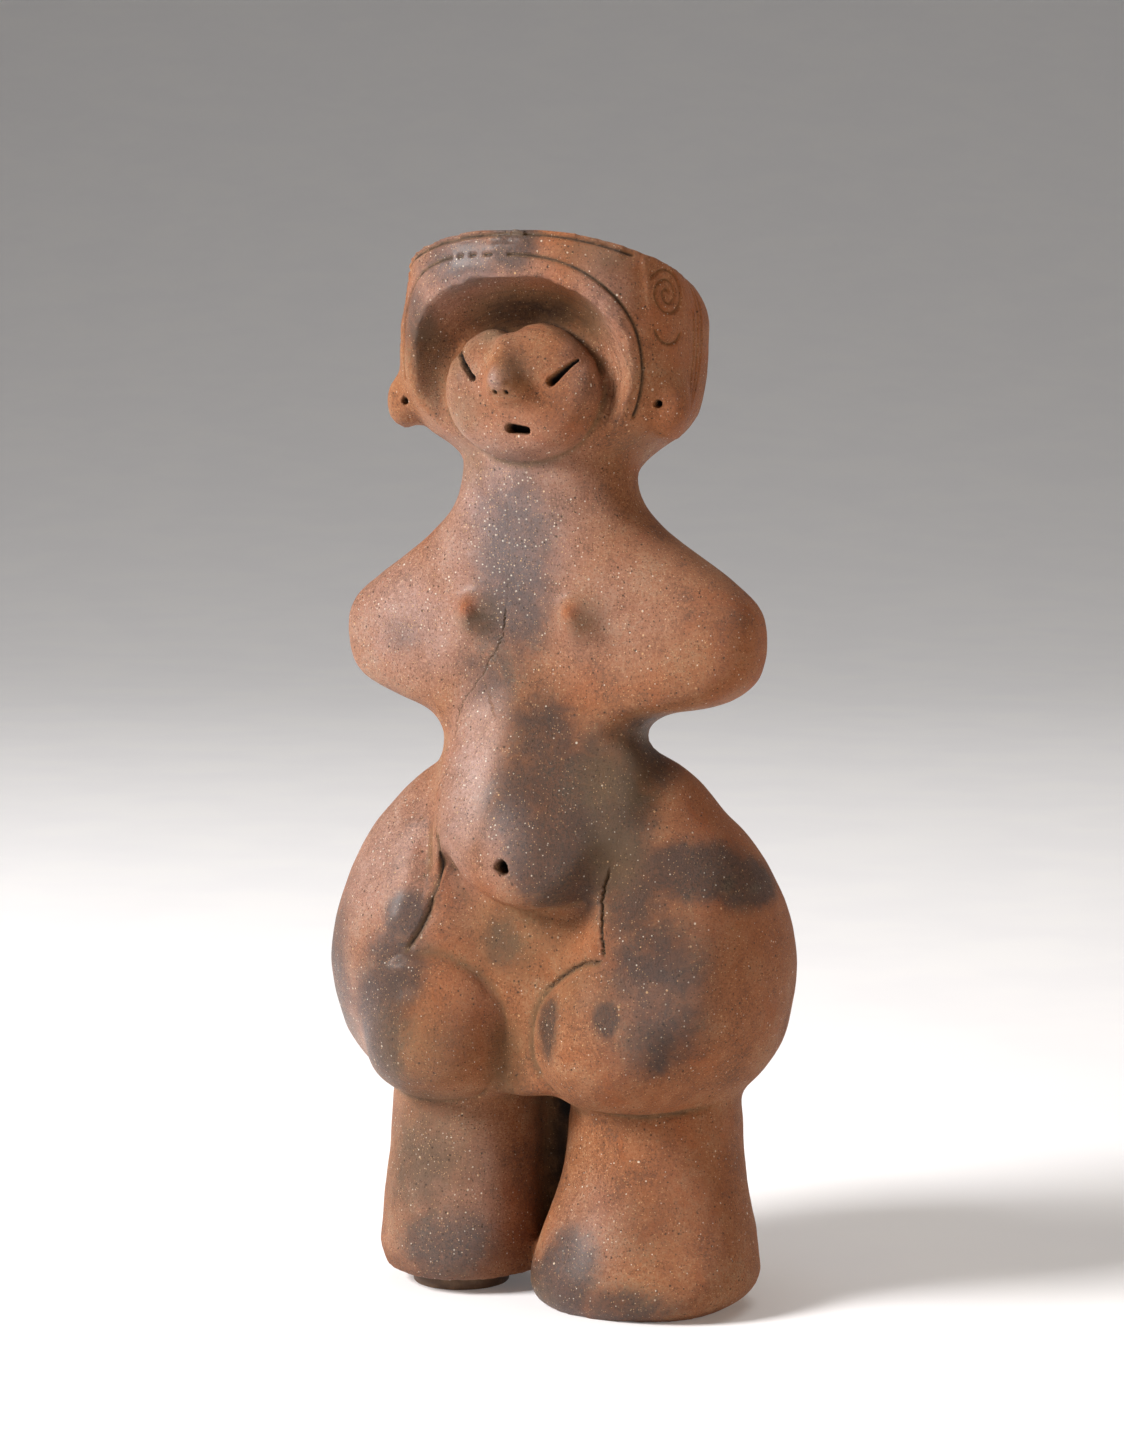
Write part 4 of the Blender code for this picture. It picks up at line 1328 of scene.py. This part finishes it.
    @staticmethod
    def _refine(clay: Clay, near: np.ndarray) -> None:
        """Divide the faces that touch marked points.

        The change to face mode also takes in faces whose corners are all marked, and their edges stay
        marked, so the choice is set both before it and after it.

        Args:
            clay: The clay.
            near: Whether each point is marked.
        """
        mesh = clay.thing.data
        only(clay.thing)
        corners = np.zeros(len(mesh.loops), np.int32)
        mesh.loops.foreach_get("vertex_index", corners)
        starts = np.zeros(len(mesh.polygons), np.int32)
        mesh.polygons.foreach_get("loop_start", starts)
        chosen = np.logical_or.reduceat(near[corners], starts)
        mesh.polygons.foreach_set("select", chosen)
        mesh.vertices.foreach_set("select", np.zeros(len(mesh.vertices), bool))
        mesh.edges.foreach_set("select", np.zeros(len(mesh.edges), bool))
        bpy.ops.object.mode_set(mode="EDIT")
        bpy.ops.mesh.select_mode(type="FACE")
        bpy.ops.object.mode_set(mode="OBJECT")
        mesh.polygons.foreach_set("select", chosen)
        bpy.ops.object.mode_set(mode="EDIT")
        bpy.ops.mesh.subdivide(number_cuts=1, smoothness=0.0)
        bpy.ops.object.mode_set(mode="OBJECT")
        clay.read()

    @staticmethod
    def _mark(clay: Clay, paths: Sequence[np.ndarray], reach: float) -> np.ndarray:
        """Points of the clay within reach of any path."""
        points = np.vstack([p for p in paths if len(p)])
        return away_from(points, clay.at, reach)[0] < reach

    def _hole_paths(self, clay: Clay, holes: Sequence[Hole]) -> list[np.ndarray]:
        """The lines of the holes, laid onto the clay.

        Args:
            clay: The clay.
            holes: The holes.

        Returns:
            The points of each line.
        """
        drawn = []
        for hole in holes:
            x, z = hole.path[0]
            path = hole.path if len(hole.path) > 1 else [(x, z), (x + 0.01, z)]
            drawn.append(Drawn(View.FRONT, path))
        return self._paths(clay, drawn)

    def _press_lines(self, clay: Clay, drawn: Sequence[Drawn], soil: np.ndarray) -> None:
        """Press drawn lines into the clay.

        Args:
            clay: The clay.
            drawn: The lines.
            soil: How much dirt and painted shade lies at each point; raised along the lines.
        """
        moves = np.zeros_like(clay.at)
        for line, path in zip(drawn, self._paths(clay, drawn)):
            if not len(path):
                continue
            half = line.wide / 2
            away, number = away_from(path, clay.at, 2.4 * half + 0.8)
            near = away < 100
            fade = np.ones(near.sum())
            if line.taper:
                ends = np.minimum(number[near], len(path) - 1 - number[near]) * LINE_STEP
                fade = 0.15 + 0.85 * ramp(ends, 0.0, line.taper)
            cutting = line.deep * np.exp(-((away[near] / half) ** line.sharp))
            raised = line.burr * np.exp(-(((away[near] - 1.55 * half) / (0.45 * half + 0.05)) ** 2))
            moves[near] += clay.normal[near] * ((raised - cutting) * fade)[:, None]
            dark = line.dark * fade * np.exp(-((away[near] / (0.85 * half)) ** line.sharp))
            soil[near] = np.maximum(soil[near], dark)
        clay.at += moves

    def _prick(self, clay: Clay, holes: Sequence[Hole], soil: np.ndarray) -> None:
        """Cut the holes into the clay.

        Args:
            clay: The clay.
            holes: The holes.
            soil: How much dirt and painted shade lies at each point; raised in the holes.
        """
        for hole, path in zip(holes, self._hole_paths(clay, holes)):
            if not len(path):
                continue
            middle = path.mean(0)
            near = (np.abs(clay.at - middle) < 12).all(1) & (clay.at[:, 1] < middle[1] + 6)
            line = np.array(hole.path, float)
            line = line if len(line) > 1 else np.vstack([line, line + [0.01, 0]])
            run = line[-1] - line[0]
            flat = clay.at[near][:, [0, 2]] - line[0]
            share = np.clip(flat @ run / max(run @ run, 1e-6), 0, 1)
            across = np.linalg.norm(flat - share[:, None] * run, axis=1)
            half = hole.half[0] + (hole.half[1] - hole.half[0]) * share
            deep = hole.deep[0] + (hole.deep[1] - hole.deep[0]) * share
            inside = ramp(across / half, 1.25, 0.72)
            lip = hole.lip * np.exp(-(((across - 1.6 * half) / (0.5 * half + 0.1)) ** 2))
            clay.at[near, 1] += deep * inside - lip
            # Painted shade: the holes are darkened to near black inside.
            soil[near] = np.maximum(soil[near], hole.dark * ramp(across / half, 1.3, 0.8))

    def _handle(self, clay: Clay) -> None:
        """Leave the slight unevenness of a hand-smoothed surface, and the rough of its chips.

        Args:
            clay: The clay.
        """
        z = clay.at[:, 2]
        swell = (0.30 * wander(clay.at, 17, 3.0) + 0.13 * wander(clay.at, 6.5, 9.0)
                 + 0.06 * wander(clay.at, 3.1, 4.0))
        rough = self._spots(clay, self.roughened)
        grit = rough * (0.42 * wander(clay.at, 1.7, 5.0) + 0.22 * wander(clay.at, 0.8, 1.0) - 0.18)
        keep = ramp(z, self.standing, 4.0)
        clay.at += clay.normal * ((swell + grit) * keep)[:, None]

    @staticmethod
    def _raise(clay: Clay, lumps: Sequence[Lump]) -> None:
        """Raise low swellings on the clay.

        Args:
            clay: The clay.
            lumps: The swellings.
        """
        for lump in lumps:
            away = np.linalg.norm((clay.at - lump.at) / lump.reach, axis=1)
            rise = lump.high * np.exp(-1.6 * away**lump.point)
            facing = ramp(clay.normal @ np.array(lump.way), 0.0, 0.5)
            clay.at += (rise * facing)[:, None] * np.array(lump.way)
        clay.write()

    @staticmethod
    def _spots(clay: Clay, spots: Sequence[Spot]) -> np.ndarray:
        """How strongly each point lies in a set of spots, from 0 to 1.

        Args:
            clay: The clay.
            spots: The spots.

        Returns:
            One strength for each point.
        """
        total = np.zeros(len(clay.at))
        for spot in spots:
            away = np.linalg.norm((clay.at - spot.at) / spot.reach, axis=1)
            total = np.maximum(total, spot.strength * ramp(away, 1.5, 0.1))
        return total

    @staticmethod
    def _store(clay: Clay, channel: Channel, values: np.ndarray) -> None:
        """Store a quantity on the clay's points."""
        slot = clay.thing.data.attributes.new(channel.value, "FLOAT", "POINT")
        slot.data.foreach_set("value", np.clip(values, 0, 1).astype(np.float32))

    @staticmethod
    def _shape_nose(clay: Clay) -> None:
        """Pinch the nose up: a wedge that widens from the brow down to a snub tip, cut off below.

        Args:
            clay: The clay.
        """
        x, y, z = clay.at.T
        brow, length = 246.5, 16.0
        down = np.clip((brow - z) / length, 0, 1)
        half = 1.8 + 2.6 * down
        across = np.clip(1 - ((x + 2.6 - 2.4 * down) / half) ** 2, 0, 1)
        rise = (0.3 + 0.8 * down) * across * ramp(z, 229.0, 231.2) * ramp(z, 248.0, 244.0)
        clay.at[:, 1] -= rise * (y < -24)
        clay.write()

    @staticmethod
    def _hollows(clay: Clay) -> np.ndarray:
        """Where the surface is hollow at the scale of a few millimetres, from 0 to 1.

        Args:
            clay: The clay.

        Returns:
            One value for each point.
        """
        before = clay.at.copy()
        clay.blur(14, 0.5)
        sunk = ((clay.at - before) * clay.normal).sum(1)
        clay.at = before
        return ramp(sunk, 0.08, 0.75)

    def _make_finer(self, clay: Clay, holes: Sequence[Hole]) -> None:
        """Give the clay small faces where it is carved, most of all along the cracks.

        Args:
            clay: The clay.
            holes: The holes that will be cut.
        """
        carving = self.carving
        thin = self._paths(clay, carving.cracks())
        fine = thin + self._paths(clay, carving.lines()) + self._hole_paths(clay, holes)
        middling = fine + self._paths(clay, carving.wipes() + carving.creases() + carving.ridges())
        tips = [np.array([lump.at]) for lump in self.nipples]
        tips += self._paths(clay, [Drawn(View.FRONT, carving.nose())])
        near = self._mark(clay, middling, self.by_lines) | self._mark(clay, tips, self.by_tips)
        self._refine(clay, near)
        clay.blur(3, 0.35, back=1.0)
        clay.write()
        self._refine(clay, self._mark(clay, fine, self.by_cuts))
        clay.blur(2, 0.35, back=1.0)
        clay.write()
        self._refine(clay, self._mark(clay, thin, self.by_cracks))

    def _carve(self, clay: Clay, holes: Sequence[Hole]) -> np.ndarray:
        """Press the folds, lines and cracks into the clay and cut its holes.

        Args:
            clay: The clay.
            holes: The holes to cut.

        Returns:
            How much dirt and painted shade lies at each point, with painted shade in the hollows.
        """
        carving = self.carving
        soil = np.zeros(len(clay.at))
        self._press_lines(clay, carving.creases() + carving.ridges(), soil)
        clay.write()
        self._press_lines(clay, carving.lines() + carving.wipes() + carving.cracks(), soil)
        self._prick(clay, holes, soil)
        clay.write()
        # Painted shade: hollows a few millimetres across are darkened as if in shade.
        return np.maximum(soil, 0.60 * self._hollows(clay))

    def _stain(self, clay: Clay, soil: np.ndarray) -> None:
        """Store the fire clouds, dirt, polish, redness and wear of the clay for its finish to read, with the
        painted shade, sheen and shade-side warmth that they carry.

        Args:
            clay: The clay.
            soil: How much dirt and painted shade lies at each point from the carving.
        """
        tipped = self._spots(clay, [Spot(lump.at, (2.7, 8, 2.7), 1.0) for lump in self.nipples])
        dirt_and_shade = np.maximum(soil, self._spots(clay, self.soiled_and_shaded) * (1 - tipped))
        self._store(clay, Channel.SOIL, dirt_and_shade)
        self._store(clay, Channel.SMOKE, self._spots(clay, self.fire_clouds_and_shade) * (1 - tipped))
        self._store(clay, Channel.BURNISH, self._spots(clay, self.polished_and_sheen) * (1 - 0.7 * tipped))
        self._store(clay, Channel.OCHRE, np.maximum(self._spots(clay, self.reddened_and_shade_warmed), 0.9 * tipped))
        self._store(clay, Channel.ROUGH, self._spots(clay, self.roughened))
        self._store(clay, Channel.PALE, self._spots(clay, self.paled))
        self._store(clay, Channel.WIPED, self._spots(clay, self.wiped))

    def build(self) -> bpy.types.Object:
        """Make the whole skin.

        Returns:
            The finished piece.
        """
        noise.seed_set(self.seed)
        holes = self.carving.holes()
        clay = self._skin()
        LOG.info("skin: %d points", len(clay.at))
        self._heal(clay, holes)
        self._round_belly(clay)
        self._even(clay)
        self._raise(clay, self.swellings)
        self._make_finer(clay, holes)
        LOG.info("refined: %d points", len(clay.at))
        self._raise(clay, self.nipples)
        self._shape_nose(clay)
        self._handle(clay)
        clay.write()
        self._stain(clay, self._carve(clay, holes))
        only(clay.thing)
        bpy.ops.object.shade_smooth()
        clay.thing.data.materials.clear()
        clay.thing.data.materials.append(self.finish.make())
        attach(clay.thing, "root")
        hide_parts(self.node)
        triangles = sum(len(f.vertices) - 2 for f in clay.thing.data.polygons)
        LOG.info("clay_skin: %d triangles", triangles)
        return clay.thing


@dataclass
class LevellingPad:
    """The thin round leather pad under the shorter right leg."""

    node: str = "levelling_pad"
    edge: float = 0.5
    dish: float = 0.12
    trim: float = 0.1
    rings: Sequence[float] = (2.0, 3.5, 3.0)
    wear: float = 0.10
    wear_size: float = 3.2
    finish: BrownLeather = field(default_factory=BrownLeather)

    def build(self) -> bpy.types.Object:
        """Cut the disc, round its edge, and let it dish a little under the weight.

        Returns:
            The finished piece.
        """
        low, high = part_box(self.node)
        middle = (low + high) / 2
        radius = (high.x - low.x) / 2
        deselect_all()
        bpy.ops.mesh.primitive_cylinder_add(
            vertices=72, radius=radius - self.trim * MM, depth=high.z - low.z, end_fill_type="NGON",
            location=middle,
        )
        pad = bpy.context.object
        pad.name = pad.data.name = "leather_pad"
        bpy.ops.object.mode_set(mode="EDIT")
        bpy.ops.mesh.select_mode(type="FACE")
        bpy.ops.mesh.select_all(action="DESELECT")
        work = bmesh.from_edit_mesh(pad.data)
        work.faces.ensure_lookup_table()
        for face in work.faces:
            face.select_set(abs(face.normal.z) > 0.9)
        bmesh.update_edit_mesh(pad.data)
        for thickness in self.rings:
            bpy.ops.mesh.inset(thickness=thickness * MM, depth=0.0)
        bpy.ops.object.mode_set(mode="OBJECT")
        bpy.ops.object.transform_apply(location=True, rotation=True, scale=True)
        rounding = pad.modifiers.new("rounded_edge", "BEVEL")
        rounding.width = self.edge * MM
        rounding.segments = 3
        rounding.limit_method = "ANGLE"
        finer = pad.modifiers.new("finer", "SUBSURF")
        finer.subdivision_type = "SIMPLE"
        finer.levels = finer.render_levels = 1
        apply_all(pad)
        centre = Vector((middle.x, middle.y, 0))
        for v in pad.data.vertices:
            out = (Vector((v.co.x, v.co.y, 0)) - centre).length / radius
            swing = noise.noise(v.co / (self.wear_size * MM)) * self.wear * MM
            if v.co.z > middle.z and out < 0.97:
                v.co.z += -self.dish * MM * (1 - out) + 0.3 * swing
            elif out > 0.9:
                v.co.x += swing * (v.co.x - centre.x) / radius
                v.co.y += swing * (v.co.y - centre.y) / radius
        only(pad)
        bpy.ops.object.shade_smooth_by_angle(angle=math.radians(50))
        pad.data.materials.clear()
        pad.data.materials.append(self.finish.make())
        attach(pad, "root")
        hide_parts(self.node)
        LOG.info("leather_pad: %d faces", len(pad.data.polygons))
        return pad


# Studio


@dataclass(frozen=True)
class SoftBox:
    """One soft light: where it stands, what it looks at, its size, power and warmth, in metres and watts."""

    name: str
    at: Point3
    to: Point3
    size: Point2
    watts: float
    tint: Colour = (1.0, 1.0, 1.0)

    def build(self) -> bpy.types.Object:
        """Set the light up.

        Returns:
            The light.
        """
        lamp = bpy.data.lights.new(self.name, "AREA")
        lamp.shape = "RECTANGLE"
        lamp.size, lamp.size_y = self.size
        lamp.energy = self.watts
        lamp.color = self.tint
        made = bpy.data.objects.new(self.name, lamp)
        bpy.context.scene.collection.objects.link(made)
        made.location = self.at
        made.rotation_euler = (Vector(self.to) - Vector(self.at)).to_track_quat("-Z", "Y").to_euler()
        return made


@dataclass
class Studio:
    """The pale floor, the lights and the camera.

    Lengths are metres, except aside, in millimetres. drop and focal are pixels of the whole frame.
    """

    paper: PalePaper = field(default_factory=PalePaper)
    azimuth: float = 22.0
    distance: float = 0.950
    eye: float = 0.255
    drop: float = 429.0
    focal: float = 3755.0
    frame_size: Point2 = (1124.0, 1436.0)
    aside: float = 0.94
    sensor: float = 36.0
    floor_size: float = 10.0
    wall: float = 6.0
    sweep: float = 3.6
    sky: Colour = (1.0, 0.90, 0.80)
    sky_strength: float = 0.05
    lights: Sequence[SoftBox] = (
        SoftBox("key_light", (-0.96, -0.86, 0.90), (0, 0, 0.13), (0.5, 0.5), 41.0, (1.0, 0.97, 0.95)),
        SoftBox("fill_light", (1.42, -0.42, 0.42), (0, 0, 0.12), (1.2, 1.2), 8.0, (1.0, 0.75, 0.50)),
        SoftBox("top_light", (0.1, 0.4, 1.3), (0, 0.3, 0.0), (1.2, 1.2), 7.0, (1.0, 0.98, 0.96)),
    )

    def _floor(self) -> None:
        """Lay the pale paper, swept up behind the figure."""
        deselect_all()
        bpy.ops.mesh.primitive_plane_add(size=self.floor_size, location=(0, 0, 0))
        floor = bpy.context.object
        floor.name = floor.data.name = "pale_floor"
        bpy.ops.object.mode_set(mode="EDIT")
        bpy.ops.mesh.select_mode(type="EDGE")
        bpy.ops.mesh.select_all(action="DESELECT")
        work = bmesh.from_edit_mesh(floor.data)
        for edge in work.edges:
            edge.select_set(all(v.co.y > 0.49 * self.floor_size for v in edge.verts))
        bmesh.update_edit_mesh(floor.data)
        bpy.ops.mesh.extrude_region_move(TRANSFORM_OT_translate={"value": (0, 0, self.wall)})
        bpy.ops.object.mode_set(mode="OBJECT")
        sweep = floor.modifiers.new("sweep", "BEVEL")
        sweep.width = self.sweep
        sweep.segments = 40
        sweep.limit_method = "ANGLE"
        apply_all(floor)
        bpy.ops.object.shade_smooth()
        turn = math.radians(self.azimuth)
        c, s = math.cos(turn), math.sin(turn)
        for v in floor.data.vertices:
            x, y = v.co.x, v.co.y
            v.co.x, v.co.y = x * c - y * s, x * s + y * c
        floor.data.materials.append(self.paper.make())

    def _camera(self) -> None:
        """Stand the camera on the figure's left front, as the photograph was taken."""
        turn = math.radians(self.azimuth)
        right = Vector((math.cos(turn), math.sin(turn), 0))
        pitch = math.atan(self.drop / self.focal)
        lens = bpy.data.cameras.new("camera")
        lens.sensor_fit = "VERTICAL"
        lens.sensor_height = self.sensor
        lens.lens = self.focal / self.frame_size[1] * self.sensor
        lens.clip_start = 0.05
        lens.clip_end = 30.0
        made = bpy.data.objects.new("camera", lens)
        bpy.context.scene.collection.objects.link(made)
        stand = Vector((self.distance * math.sin(turn), -self.distance * math.cos(turn), self.eye))
        made.location = stand + right * self.aside * MM
        made.rotation_euler = (math.pi / 2 - pitch, 0.0, turn)
        bpy.context.scene.camera = made

    def build(self) -> None:
        """Set up the whole studio."""
        self._floor()
        for light in self.lights:
            light.build()
        self._camera()
        world = bpy.data.worlds.new("studio")
        bpy.context.scene.world = world
        world.use_nodes = True
        glow = world.node_tree.nodes["Background"]
        glow.inputs["Color"].default_value = (*self.sky, 1.0)
        glow.inputs["Strength"].default_value = self.sky_strength
        bpy.context.scene.view_settings.view_transform = "Standard"


def main() -> None:
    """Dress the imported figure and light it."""
    logging.basicConfig(level=logging.INFO, format="%(name)s: %(message)s")
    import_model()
    for piece in (ClayFigure(), LevellingPad()):
        made = piece.build()
        LOG.info("built %s", made.name)
    Studio().build()


if __name__ == "__main__":
    main()
